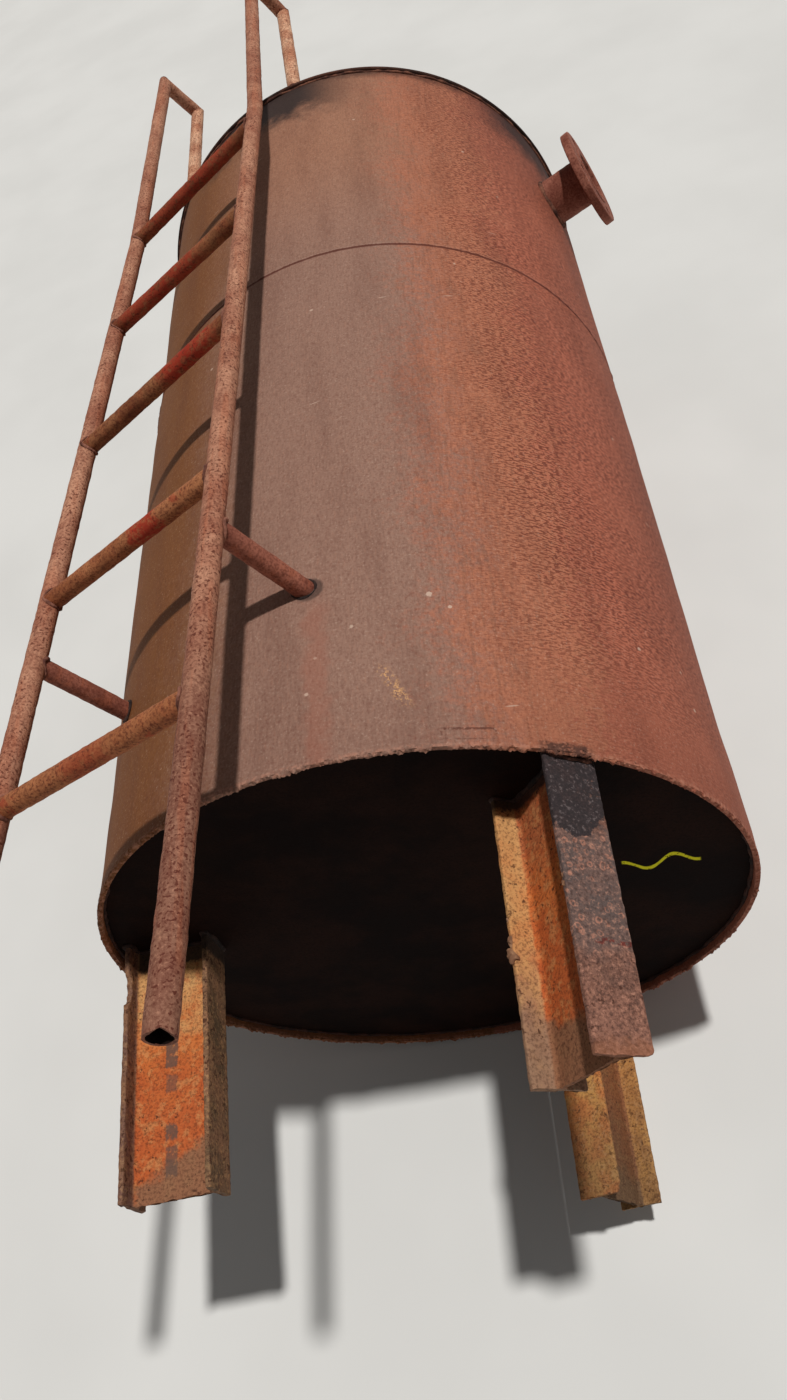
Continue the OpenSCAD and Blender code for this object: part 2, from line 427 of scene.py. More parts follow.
class Graph(Tree):
    """The tree of one material, with the part's places as wires and the colour so far."""

    def __init__(self, name: str, colour: Colour) -> None:
        """Starts a material.

        Args:
            name: the material's name.
            colour: the lowest colour.
        """
        self.material = bpy.data.materials.new(name)
        self.material.use_nodes = True
        super().__init__(self.material.node_tree)
        self.colour: Tint = colour
        self.place = self.add("ShaderNodeTexCoord", {}, "Object")
        self.x, self.y, self.z = self.parts(self.place)

    def parts(self, vector: Wire) -> tuple[Wire, Wire, Wire]:
        """The three parts of a vector."""
        first = self.add("ShaderNodeSeparateXYZ", {0: vector})
        return first, first.twin(1), first.twin(2)

    def vector(self, x: Value, y: Value, z: Value = 0.0) -> Wire:
        """A vector of three values."""
        return self.add("ShaderNodeCombineXYZ", {0: x, 1: y, 2: z})

    def along(self, origin: Array, way: Array) -> Wire:
        """How far a place is from an origin along a direction, in metres."""
        apart = self.add("ShaderNodeVectorMath", {0: self.place, 1: tuple(origin)}, operation="SUBTRACT")
        return self.add("ShaderNodeVectorMath", {0: apart, 1: tuple(way)}, "Value", operation="DOT_PRODUCT")

    def away(self, point: Array) -> Wire:
        """Distance from a point, in metres."""
        inputs = {0: self.place, 1: tuple(point)}
        return self.add("ShaderNodeVectorMath", inputs, "Value", operation="DISTANCE")

    def noise(self, size: float, detail: float = 4.0, rough: float = 0.55,
              at: Optional[Wire] = None) -> Wire:
        """Noise with features of about one size, mostly from 0.3 to 0.7, on the place or a given vector."""
        inputs = {"Vector": at or self.place, "Scale": 1 / size, "Detail": detail, "Roughness": rough}
        return self.add("ShaderNodeTexNoise", inputs)

    def wobble(self, size: float, depth: float, detail: float = 4.0, rough: float = 0.55) -> Wire:
        """Noise about 0, for ragged edges; mostly within a fifth of its depth."""
        return (self.noise(size, detail, rough) - 0.5) * depth

    def fibres(self, detail: float, rough: float, x: Value, y: Value, z: Value = 0.0) -> Wire:
        """Noise on a stretched place, which is given in sizes of its features."""
        return self.noise(1.0, detail, rough, self.vector(x, y, z))

    def spots(self, spacing: float, at: Optional[Wire] = None) -> tuple[Wire, Wire]:
        """Cells round random points.

        Args:
            spacing: distance between the points.
            at: where it is taken, the place on the part where none is given.

        Returns:
            Distance from the nearest point in spacings, and a random number for each cell.
        """
        inputs = {"Vector": at or self.place, "Scale": 1 / spacing}
        near = self.add("ShaderNodeTexVoronoi", inputs, "Distance")
        return near, self.parts(near.twin("Color"))[0]

    def blend(self, mask: Value, first: Tint, second: Tint) -> Wire:
        """A colour between two colours."""
        return self.add("ShaderNodeMix", {"Factor": mask, 6: first, 7: second}, 2, data_type="RGBA")

    def over(self, *layers: tuple[Value, Tint]) -> None:
        """Lays colours over the colour so far, each through its mask, the first one lowest."""
        for mask, tint in layers:
            self.colour = self.blend(mask, self.colour, tint)

    def finish(self, rough: Wire, bumps: list[tuple[Wire, float, float]], shine: float = SHINE) -> Material:
        """Ends the tree in one surface shader.

        Args:
            rough: the roughness.
            bumps: height, strength and depth in metres of each bump, coarse ones first.
            shine: how strongly the surface mirrors its surroundings.

        Returns:
            The finished material.
        """
        inputs = {"Base Color": self.colour, "Roughness": rough, "Specular IOR Level": shine}
        normal = {}
        for height, strength, depth in bumps:
            bump = {"Height": height, "Strength": strength, "Distance": depth}
            normal = {"Normal": self.add("ShaderNodeBump", bump | normal)}
        self.close("ShaderNodeOutputMaterial", self.add("ShaderNodeBsdfPrincipled", inputs | normal))
        return self.material


class ShellGraph(Graph):
    """The shell's tree, with its places round and along the tank."""

    def __init__(self, name: str, colour: Colour) -> None:
        """Starts the tree, whose turn is the angle from the top in radians.

        Args:
            name: the material's name.
            colour: the lowest colour.
        """
        super().__init__(name, colour)
        self.turn = self.add("ShaderNodeMath", {0: self.x - AXIS_X, 1: self.z - AXIS_Z}, operation="ARCTAN2")
        self.around = self.turn * SHELL_R
        self.length = self.y - RIM_Y


@dataclass(frozen=True)
class ShellRust:
    """Rust of the rolled shell: grey-brown along the top, partly a painted sky reflection, redder and
    streaked down the right flank.
    """

    # Grey-brown rust along the top, partly a painted sky reflection.
    sheen_grey: Colour = (144, 110, 94)
    brown: Colour = (158, 106, 76)
    red: Colour = (170, 99, 76)
    orange: Colour = (178, 117, 86)
    flank: Colour = (118, 73, 38)
    # Dark rust of blotches, mottling and outlines, and also painted shade near the leg rim, towards the ends
    # and down the right side.
    dark_rust_and_shade: Colour = (84, 46, 36)
    streak: Colour = (94, 43, 32)
    # Black of burnt stains and soot, also painted shade at a leg's root.
    burnt_and_shade: Colour = (34, 28, 28)
    pale: Colour = (196, 168, 148)
    copper: Colour = (158, 92, 54)
    dust: Colour = (112, 80, 62)
    scraped: Colour = (216, 162, 106)
    run_off: Colour = (150, 84, 64)
    cut_edge_highlight: Colour = (190, 134, 110)
    underside_dark: Colour = (96, 60, 44)
    painted_seam_shadow: Colour = (82, 38, 29)
    chips: tuple[Triple, ...] = ((73.4, 0.200, 0.0042), (70.5, 0.181, 0.0026), (92.4, 0.087, 0.0024))
    seam_at: float = 0.9218
    scrape_at: tuple[float, float] = (0.0735, 0.079)
    patch_turn: float = 0.350
    patch_length: float = 0.0205

    def make(self) -> Material:
        """Builds the material.

        Returns:
            The finished material.
        """
        g = ShellGraph("shell_rust", self.sheen_grey)
        turn, around, length = g.turn, g.around, g.length
        drift, mist = g.noise(0.12, 5.0, 0.62), g.noise(0.008, 4.0, 0.7)
        soft = (drift - 0.5) * 0.4 + (mist - 0.5) * 0.6
        band = (turn + soft).near(0.56, 0.26, 0.04)
        slope = (turn + soft * 0.7).step(0.30, 0.66)
        side = turn.step(-0.65, -1.15).larger(turn.step(2.0, 2.6))
        blotch = g.noise(0.11, 6.0, 0.68)
        run = g.fibres(1.6, 0.55, around / 0.0080, length / 0.0025)
        grain = g.fibres(3.0, 0.65, around / 0.0030, length / 0.014)
        fibre = g.fibres(3.0, 0.6, around / 0.0045, length / 0.07)
        cloud = g.fibres(4.0, 0.6, around / 0.06, length / 0.35)
        speck = g.noise(0.0030, 3.0, 0.7)
        patchy = g.noise(0.09, 3.0).step(0.25, 0.55) * 0.3 + length.step(0.02, 0.22) * 0.5
        # Painted shade: darker near both ends and down the right side, where the shell turns away from the
        # light.
        ends = (length.step(0.20, 0.02) * 0.24).larger(length.step(1.12, 1.30) * 0.16)
        painted_shade = (ends * turn.step(0.3, 0.85)).larger(turn.step(0.92, 1.15) * 0.19)
        g.over(
            (length.step(0.86, 1.3) * 0.55, self.brown),
            ((turn + soft).step(0.19, 0.60), self.red),
            (band * 0.55, self.orange),
            ((turn + soft * 0.5).step(-0.15, -0.62), self.flank),
            (blotch.step(0.50, 0.66) * side * 0.5, self.dark_rust_and_shade),
            (blotch.step(0.47, 0.34) * side * 0.4, self.copper),
            (cloud.step(0.42, 0.7) * 0.26, self.dark_rust_and_shade),
            # Painted shade along the leg rim.
            (length.step(0.13, 0.0) * 0.12, self.dark_rust_and_shade),
            (grain.step(0.46, 0.64) * (0.22 - slope * 0.1), self.dark_rust_and_shade),
            (grain.step(0.44, 0.32) * (0.12 + band * 0.25), self.orange),
            (fibre.step(0.50, 0.62) * (turn + soft).near(0.42, 0.26, 0.06) * 0.28, self.dust),
            (run.step(0.49, 0.535) * slope * patchy, self.streak),
            (speck.step(0.5, 0.66) * 0.34, self.streak),
            (speck.step(0.42, 0.3) * 0.28, self.pale),
            (painted_shade, self.dark_rust_and_shade),
        )
        self._flecks(g)
        self._stains(g)
        return g.finish(0.66 + drift * 0.2, [(drift, 0.1, 0.01), (run, 0.3, 0.0013), (speck, 0.45, 0.0011)])

    def _flecks(self, g: ShellGraph) -> None:
        """Adds pale chips, short scratches, a scrape near the rim and a reddish run-off.

        Args:
            g: the shell's tree.
        """
        near, tint = g.spots(0.042)
        chips = (near + g.wobble(0.003, 0.06)).step(0.075, 0.045) * tint.step(0.84, 0.86)
        dash, which = g.spots(1.0, g.vector(g.around / 0.10, (g.length - g.around * 0.18) / 0.014))
        scratches = dash.step(0.10, 0.04) * which.step(0.89, 0.90)
        bent = g.around + (g.length - 0.081) * 0.45
        scrape = bent.near(self.scrape_at[0], 0.011, 0.002) * g.length.near(self.scrape_at[1], 0.034, 0.014)
        vein = g.noise(0.010, 4.0, 0.75).near(0.52, 0.026, 0.008)
        g.over(((chips * 0.65).larger(scratches * 0.5), self.pale), (scrape * vein * 0.95, self.scraped))
        for angle, place, size in self.chips:
            spot = g.away(lay(angle, np.array([SHELL_R, 0, place]))) + g.wobble(0.004, 0.006)
            g.over((spot.step(size, size * 0.6) * 0.8, self.pale))
        run_off = (g.around + g.wobble(0.02, 0.04)).near(-0.006, 0.020, 0.002)
        g.over((run_off * g.length.step(0.225, 0.19) * 0.3, self.run_off))

    def _stains(self, g: ShellGraph) -> None:
        """Adds the rim's lighter cut edge, partly a painted highlight, darker patches on the underside, the
        burnt edge at the roof, soot at two welds, partly painted shade at a leg's root, and the seam's
        painted highlight with the painted shadow below it.

        Args:
            g: the shell's tree.
        """
        turn, length = g.turn, g.length
        ragged = g.wobble(0.045, 0.1, 5.0, 0.68)
        # A lighter cut edge at the rim, partly a painted highlight.
        edge_highlight = length.step(0.0055, 0.0015) * g.noise(0.005, 3.0).step(0.40, 0.62)
        # Darker patches over the underside.
        underside = turn.size().step(1.35, 2.5) * g.noise(0.09, 4.0, 0.6).step(0.3, 0.6)
        edge = (length + ragged * 0.6).step(1.485, 1.53)
        left = turn.near(-0.24, 0.50, 0.18) * (length + ragged * 1.5).step(1.375, 1.46)
        right = turn.near(1.2, 0.56, 0.22) * (length + ragged * 1.5).step(1.37, 1.49)
        seam = length + g.wobble(0.012, 0.002, 3.0)
        weld = lay(LADDER.angle, LADDER.foot_of_strut(1)) + np.array([0.006, -0.004, 0.0])
        soot = (g.away(weld) + ragged * 0.15).step(0.0190, 0.0145)
        # A dark smudge at the top right leg's root, partly painted shade.
        root = (turn + ragged * 0.9).near(0.585, 0.085, 0.05) * (length + ragged * 0.22).step(0.011, 0.006)
        root = root * g.noise(0.006, 3.0).step(0.3, 0.55)
        g.over(
            (edge_highlight * 0.4, self.cut_edge_highlight),
            (underside * 0.55, self.underside_dark),
            ((edge * 0.7).larger(left * 0.94).larger(right * 0.9), self.burnt_and_shade),
            # Painted highlight on the seam's crest, and painted shadow below it.
            (seam.near(self.seam_at, 0.0022, 0.0008) * 0.1, self.pale),
            (seam.near(self.seam_at - 0.0042, 0.0034, 0.0014) * 0.85, self.painted_seam_shadow),
            ((soot * 0.65).larger(root * 0.75), self.burnt_and_shade),
            (self._patch(g, ragged) * 0.75, self.dark_rust_and_shade),
        )

    def _patch(self, g: ShellGraph, ragged: Wire) -> Wire:
        """The thin outline of a patch that was once cut at the rim.

        Args:
            g: the shell's tree.
            ragged: noise about 0.

        Returns:
            Its mask.
        """
        place = g.length + g.wobble(0.02, 0.004, 3.0)
        along = (g.turn + ragged * 0.1).near(self.patch_turn, 0.070, 0.064)
        top = place.near(self.patch_length, 0.0018, 0.0008)
        low = place.near(0.0085, 0.0012, 0.0005) * g.noise(0.02, 2.0).step(0.48, 0.55)
        sides = (g.turn - self.patch_turn).size().near(0.066, 0.0035, 0.0015)
        sides = sides * g.length.step(self.patch_length + 0.001, self.patch_length)
        sides = sides * g.length.step(0.010, 0.014)
        return (along * top.larger(low * 0.6)).larger(sides * 0.7) * g.noise(0.006, 3.0).step(0.38, 0.52)


@dataclass(frozen=True)
class PlateRust:
    """Dark rust of the end plates, with a plain yellow paint stroke where a place for it is given; the
    near-black default colours, which the bottom plate takes, are partly painted shade.
    """

    name: str
    # Near black by default: dark rust, darkened further as painted shade of the recessed bottom plate.
    dark: Colour = (13, 6, 5)
    light: Colour = (32, 17, 12)
    paint: Colour = (214, 206, 40)
    stroke_at: Optional[tuple[float, float]] = None
    stroke_turn: float = 105.0
    stroke_height: float = 0.013

    def make(self) -> Material:
        """Builds the material.

        Returns:
            The finished material.
        """
        g = Graph(self.name, self.dark)
        wide, fine = g.noise(0.16, 6.0, 0.66), g.noise(0.004, 4.0, 0.7)
        g.over((wide.step(0.38, 0.66), self.light), (fine.step(0.46, 0.66) * 0.6, self.dark))
        if self.stroke_at:
            g.over((self._stroke(g, *self.stroke_at), self.paint))
        return g.finish(0.78 + wide * 0.15, [(wide, 0.1, 0.01), (fine, 0.4, 0.001)], shine=0.04)

    def _stroke(self, g: Graph, x: float, z: float) -> Wire:
        """A plain wavy brush stroke of thin paint.

        Args:
            g: the material's tree.
            x: X of its middle.
            z: Z of its middle.

        Returns:
            Its mask.
        """
        wobble = g.wobble(0.02, 0.006, 3.0)
        wave = g.add("ShaderNodeMath", {0: (g.x - x) * self.stroke_turn}, operation="SINE")
        line = (g.z - wave * self.stroke_height + wobble).near(z, 0.0046, 0.0030)
        return line * (g.x + wobble).near(x, 0.047, 0.044) * g.noise(0.004, 2.0).step(0.3, 0.42)


@dataclass(frozen=True)
class PipeRust:
    """Brown rust of pipes, with grain, ragged dark pits and, on some, a patch of red paint."""

    name: str
    base: Colour = (152, 97, 75)
    light: Colour = (188, 136, 108)
    tail: Colour = (100, 64, 53)
    orange: Colour = (168, 90, 58)
    pit: Colour = (82, 34, 24)
    paint: Colour = (156, 42, 28)
    traces: float = 0.0
    pits: float = 0.8
    streaks: float = 0.28
    patch: Triple = (0.0, 0.0, 0.0)

    def make(self) -> Material:
        """Builds the material.

        Returns:
            The finished material.
        """
        g = Graph(self.name, self.base)
        wide, grain = g.noise(0.07, 6.0, 0.66), g.noise(0.0032, 3.0, 0.7)
        long = g.fibres(4.0, 0.65, g.x / 0.006, g.y / 0.05, g.z / 0.006)
        streak = g.fibres(3.0, 0.6, g.x / 0.013, g.y / 0.20, g.z / 0.013)
        pits = g.noise(0.0034, 1.6, 0.5).step(0.585, 0.63) * g.noise(0.05, 2.0).step(0.25, 0.5)
        g.over(
            (wide.step(0.36, 0.64), self.light),
            ((g.y - RIM_Y).step(0.16, -0.06) * 0.62, self.tail),
            (streak.step(0.50, 0.60) * self.streaks, self.orange),
            (long.step(0.48, 0.66) * 0.3, self.pit),
            (grain.step(0.47, 0.62) * 0.48, self.pit),
            (grain.step(0.43, 0.32) * 0.42, self.light),
        )
        if self.traces:
            left = g.noise(0.026, 5.0, 0.66).step(0.60, 0.68) * self.traces
            g.over((left.larger(self._patch(g)) * 0.88, self.paint))
        g.over((pits * self.pits, self.pit))
        bumps = [(pits, -0.4, 0.0012), (long, 0.2, 0.001), (grain, 0.5, 0.0009)]
        return g.finish(0.68 + wide * 0.2, bumps)

    def _patch(self, g: Graph) -> Wire:
        """The largest patch of paint that is left along a rung.

        Args:
            g: the material's tree.

        Returns:
            Its mask.
        """
        offset, half, strength = self.patch
        middle, beside = lay(LADDER.angle, np.array([[SHELL_R, offset, 0.0], [SHELL_R, offset + 1, 0.0]]))
        across = g.along(middle, beside - middle) + g.wobble(0.014, 0.06, 5.0, 0.7)
        rubbed = g.noise(0.009, 4.0, 0.7).step(0.38, 0.52)
        return across.size().step(half, half * 0.5) * (rubbed * 0.75 + 0.25) * strength


@dataclass(frozen=True)
class WeldRust:
    """Rust on weld metal, darker than the plates beside it."""

    name: str = "weld_rust"
    dark: Colour = (62, 38, 32)
    light: Colour = (126, 82, 64)

    def make(self) -> Material:
        """Builds the material.

        Returns:
            The finished material.
        """
        g = Graph(self.name, self.dark)
        wide, grain = g.noise(0.02, 4.0, 0.6), g.noise(0.003, 4.0, 0.7)
        g.over((wide.step(0.38, 0.62), self.light), (grain.step(0.46, 0.66) * 0.5, self.dark))
        return g.finish(0.7 + wide * 0.2, [(grain, 0.5, 0.001)])


class LegLook(Enum):
    """How much dark paint is left on a leg, and how orange its rust is."""

    PAINTED = "painted"
    ORANGE = "orange"
    PALE = "pale"


class LegGraph(Graph):
    """A leg's tree, with places in its section and from its root, and masks of its two flanges."""

    def __init__(self, name: str, colour: Colour, origin: Array, ways: list[Array]) -> None:
        """Starts the tree.

        Args:
            name: the material's name.
            colour: the lowest colour.
            origin: middle of the leg's root.
            ways: directions out through the flanges, across them and down the leg.
        """
        super().__init__(name, colour)
        self.depth, self.width, self.reach = (self.along(origin, way) for way in ways)
        self.wide = self.noise(0.05, 6.0, 0.66)
        self.outer, self.inner = self.depth.step(0.0475, 0.0495), self.depth.step(-0.0475, -0.0495)


@dataclass(frozen=True)
class LegRust:
    """Rust of one leg: orange web, tan inner flange, brown outer flange with dark paint at its root."""

    name: str
    look: LegLook
    origin: Array
    ways: list[Array]
    brown: Colour = (112, 80, 68)
    bloom: Colour = (138, 96, 80)
    foot_brown: Colour = (132, 94, 69)
    orange: Colour = (193, 105, 52)
    tan: Colour = (198, 146, 92)
    red: Colour = (174, 82, 43)
    dark: Colour = (50, 43, 44)
    speck: Colour = (62, 34, 24)
    moss: Colour = (190, 138, 78)
    root_shade: Colour = (36, 29, 27)
    # Dark grey-brown for the orange leg's inner flange and towards the pale leg's foot, and painted shade
    # over the pale leg's web.
    dark_rust_and_shade: Colour = (94, 74, 54)
    root_red: Colour = (170, 94, 56)
    umber: Colour = (168, 116, 68)
    fleck: Colour = (176, 136, 96)
    straw: Colour = (176, 130, 86)
    clay: Colour = (196, 112, 60)
    worn_tan: Colour = (136, 106, 88)
    scuff: Colour = (92, 72, 62)
    thin_paint: Colour = (94, 81, 77)
    ring: Colour = (172, 118, 97)
    island: Colour = (84, 74, 71)
    rubbed: Colour = (116, 102, 98)
    dash: Colour = (104, 38, 30)
    coal: Colour = (26, 24, 26)
    ash: Colour = (128, 116, 114)
    grit: Colour = (60, 42, 38)
    pink: Colour = (196, 142, 118)
    foot_red: Colour = (156, 98, 66)
    scuffs: tuple[Triple, ...] = (
        (0.112, 0.156, 0.85), (0.162, 0.186, 0.6), (0.219, 0.241, 0.85), (0.244, 0.282, 0.75),
    )

    def make(self) -> Material:
        """Builds the material.

        Returns:
            The finished material.
        """
        root = self.root_red if self.look is LegLook.PAINTED else self.tan
        g = LegGraph(self.name, root, self.origin, self.ways)
        fine = g.noise(0.0032, 4.0, 0.72)
        specks = g.noise(0.0062, 2.0, 0.55).step(0.62, 0.68) * g.noise(0.06, 2.0).step(0.35, 0.6)
        self._web(g)
        face = {
            LegLook.PAINTED: (self.brown, self.bloom),
            LegLook.ORANGE: (self.brown, self.foot_brown),
            LegLook.PALE: (self.moss, self.umber),
        }[self.look]
        g.over((g.outer, g.blend(g.wide.step(0.35, 0.62), *face)), (g.inner, self._inner(g)))
        if self.look is LegLook.PALE:
            g.over(((g.reach + (g.wide - 0.5) * 0.2).step(0.12, 0.27) * 0.55, self.dark_rust_and_shade))
        g.over(
            (fine.step(0.45, 0.64) * 0.55, self.speck),
            (fine.step(0.40, 0.30) * 0.25, self.tan),
            (specks * 0.8, self.speck),
        )
        if self.look is LegLook.PAINTED:
            self._paint(g)
        else:
            self._weathering(g)
        if self.look is LegLook.ORANGE:
            self._scuff(g)
        # Painted shade: a near-black band at each leg's root, on all but the outer flange, where the root
        # stands in the shell's shade.
        reach = 0.030 if self.look is LegLook.ORANGE else 0.018
        burnt_and_shade = (g.reach + g.wobble(0.012, 0.016, 4.0, 0.7)).step(reach, reach - 0.007)
        g.over(((1.0 - g.outer) * burnt_and_shade * 0.9, self.root_shade))
        bumps = [(specks, -0.35, 0.0012), (g.wide, 0.2, 0.004), (fine, 0.55, 0.0010)]
        return g.finish(0.7 + g.wide * 0.2, bumps)

    def _web(self, g: LegGraph) -> None:
        """Colours the web: tan at the root, redder below, brown at the foot.

        Args:
            g: the leg's tree.
        """
        drop = g.reach + (g.wide - 0.5) * 0.25
        slant, start = (0.5, 0.254) if self.look is LegLook.ORANGE else (0.22, 0.240)
        edge = g.reach - g.depth * slant + g.wobble(0.03, 0.07, 5.0, 0.66)
        g.over(
            (drop.step(0.05, 0.13), self.orange),
            (drop.step(0.12, 0.2) * 0.7, self.red),
            (g.noise(0.011, 4.0, 0.7).step(0.5, 0.62) * 0.45, self.red),
            (g.noise(0.014, 4.0, 0.7).step(0.5, 0.36) * 0.4, self.tan),
            (edge.step(start, start + 0.020) * 0.88, self.foot_brown),
        )
        if self.look is LegLook.PALE:
            # Painted shade over the web between the flanges.
            g.over((0.7, self.dark_rust_and_shade))

    def _inner(self, g: LegGraph) -> Wire:
        """Colour of the inner flange.

        Args:
            g: the leg's tree.

        Returns:
            The flange's colour.
        """
        if self.look is LegLook.PAINTED:
            colour = g.blend(g.wide.step(0.42, 0.68) * 0.5, self.tan, self.orange)
            return g.blend((g.reach + (g.wide - 0.5) * 0.25).step(0.16, 0.27) * 0.85, colour, self.worn_tan)
        if self.look is LegLook.PALE:
            return g.blend(g.wide.step(0.4, 0.6) * 0.8, self.moss, self.clay)
        worn = g.blend(g.wide.step(0.36, 0.6), self.dark_rust_and_shade, self.foot_brown)
        return g.blend(g.noise(0.005, 4.0, 0.7).step(0.52, 0.62) * 0.5, worn, self.straw)

    def _paint(self, g: LegGraph) -> None:
        """Adds the old dark paint at the outer flange's root, with its rust blooms, islands and grit.

        Args:
            g: the leg's tree.
        """
        zone = (g.reach + g.wobble(0.03, 0.06)).near(0.153, 0.075, 0.045)
        cell, tint = g.spots(0.0088)
        ring = (cell + g.wobble(0.0038, 0.55, 3.0)).near(0.30, 0.13, 0.05)
        bloomed = ring * tint.step(0.3, 0.4) * g.noise(0.018, 3.0).step(0.32, 0.5)
        ragged = g.wobble(0.016, 0.045, 5.0, 0.7)
        left = (g.reach + ragged + (g.width + 0.007).size() * 0.9).step(0.1085, 0.106)
        islands = g.noise(0.026, 5.0, 0.66).step(0.50, 0.56) * (g.reach + ragged).step(0.205, 0.165)
        chips = g.noise(0.006, 4.0, 0.65).step(0.60, 0.64) * (g.width + 0.004 + ragged * 0.3).step(0.0, 0.02)
        row = (g.reach + g.wobble(0.02, 0.008)).near(0.206, 0.0034, 0.0016)
        dashes = row * g.noise(0.006, 2.0).step(0.46, 0.54) * (g.width + 0.012).step(0.0, 0.004)
        grit = g.noise(0.0042, 4.0, 0.72)
        bare = 1.0 - left
        for mask, tint in (
            (zone * 0.65, self.thin_paint),
            (zone * bloomed * 0.7, self.ring),
            (islands * 0.6, self.island),
            (left * (1.0 - chips * 0.6) * 0.94, self.dark),
            (left * g.noise(0.0042, 3.0, 0.7).step(0.55, 0.64) * 0.4, self.rubbed),
            (dashes * 0.8, self.dash),
            (left * grit.step(0.49, 0.58) * 0.7, self.coal),
            (left * grit.step(0.44, 0.37) * 0.4, self.ash),
            (bare * grit.step(0.51, 0.62) * 0.6, self.grit),
            (bare * grit.step(0.45, 0.36) * 0.4, self.pink),
            ((g.reach + ragged).step(0.286, 0.305) * 0.4, self.foot_red),
        ):
            g.over((g.outer * mask, tint))

    def _weathering(self, g: LegGraph) -> None:
        """Adds pits and pale flecks to the flanges.

        Args:
            g: the leg's tree.
        """
        flange = g.width.size().step(0.006, 0.009)
        pits = g.noise(0.008, 3.0, 0.6).step(0.575, 0.63) * (0.5 if self.look is LegLook.PALE else 0.8)
        flecks = g.noise(0.0055, 4.0, 0.7).step(0.52, 0.60) * 0.3
        g.over((flange * flecks, self.fleck), (flange * pits, self.speck))

    def _scuff(self, g: LegGraph) -> None:
        """Adds the grey scuffs down the middle of the web.

        Args:
            g: the leg's tree.
        """
        ragged = g.wobble(0.011, 0.03, 5.0, 0.7)
        worn = g.noise(0.007, 4.0, 0.6).step(0.30, 0.46)
        line = (g.depth + ragged * 0.3).near(0.003, 0.0082, 0.0066) * worn
        for start, end, strength in self.scuffs:
            half = (end - start) / 2
            run = (g.reach + ragged * 0.5).near(start + half, half, half - 0.004)
            g.over((line * run * strength, self.scuff))


@dataclass(frozen=True)
class Finishes:
    """The finishes that more than one piece shares, made once."""

    weld: Material
    joint: Material
    pipe: Material
    rail: Material
    strut: Material
    nozzle: Material
    bore: Material
    stub: Material
    burnt_and_shade: Material

    @classmethod
    def make(cls) -> "Finishes":
        """Builds the shared finishes.

        Returns:
            The finishes.
        """
        rusts = {
            "weld": WeldRust(),
            "joint": WeldRust("joint_rust", dark=(88, 52, 42), light=(148, 98, 80)),
            "pipe": PipeRust("pipe_rust"),
            "rail": PipeRust("rail_rust", base=(184, 128, 98), light=(228, 182, 148)),
            "strut": PipeRust("strut_rust", base=(126, 73, 58), light=(162, 100, 80), tail=(136, 80, 66),
                              paint=(146, 60, 48), traces=0.35, pits=0.35),
            "nozzle": PipeRust("nozzle_rust", base=(120, 69, 54), light=(156, 100, 82), pits=0.4,
                               streaks=0.0),
            # Near black inside the bores of the pipes and the nozzle: painted shade.
            "bore": PlateRust("bore_rust_and_shade", dark=(20, 13, 11), light=(34, 22, 18)),
            "stub": WeldRust("stub_rust", dark=(120, 84, 62), light=(176, 134, 100)),
            # Near-black weld: soot at the struts' feet, and painted shade at the legs' roots.
            "burnt_and_shade": WeldRust("burnt_and_shaded_weld", dark=(24, 19, 18), light=(66, 48, 42)),
        }
        return cls(**{name: rust.make() for name, rust in rusts.items()})


def hole_loops(along: float, across: float, radius: float, low: float, high: float) -> Array:
    """The two end loops of a round hole parallel to the nozzle.

    Args:
        along: how far its middle is from the nozzle's axis, along the tank.
        across: how far its middle is from the nozzle's axis, round the tank.
        radius: its radius.
        low: distance of its inner end from the tank's axis.
        high: distance of its outer end from the tank's axis.

    Returns:
        2 by HOLE_COLUMNS by 3, in the part's frame.
    """
    angles = circle_angles(HOLE_COLUMNS)
    ring = np.stack([0 * angles, across + np.cos(angles) * radius, along + np.sin(angles) * radius], -1)
    return np.array([lay(NOZZLE_ANGLE, ring + np.array([out, 0, NOZZLE_Y])) for out in (low, high)])


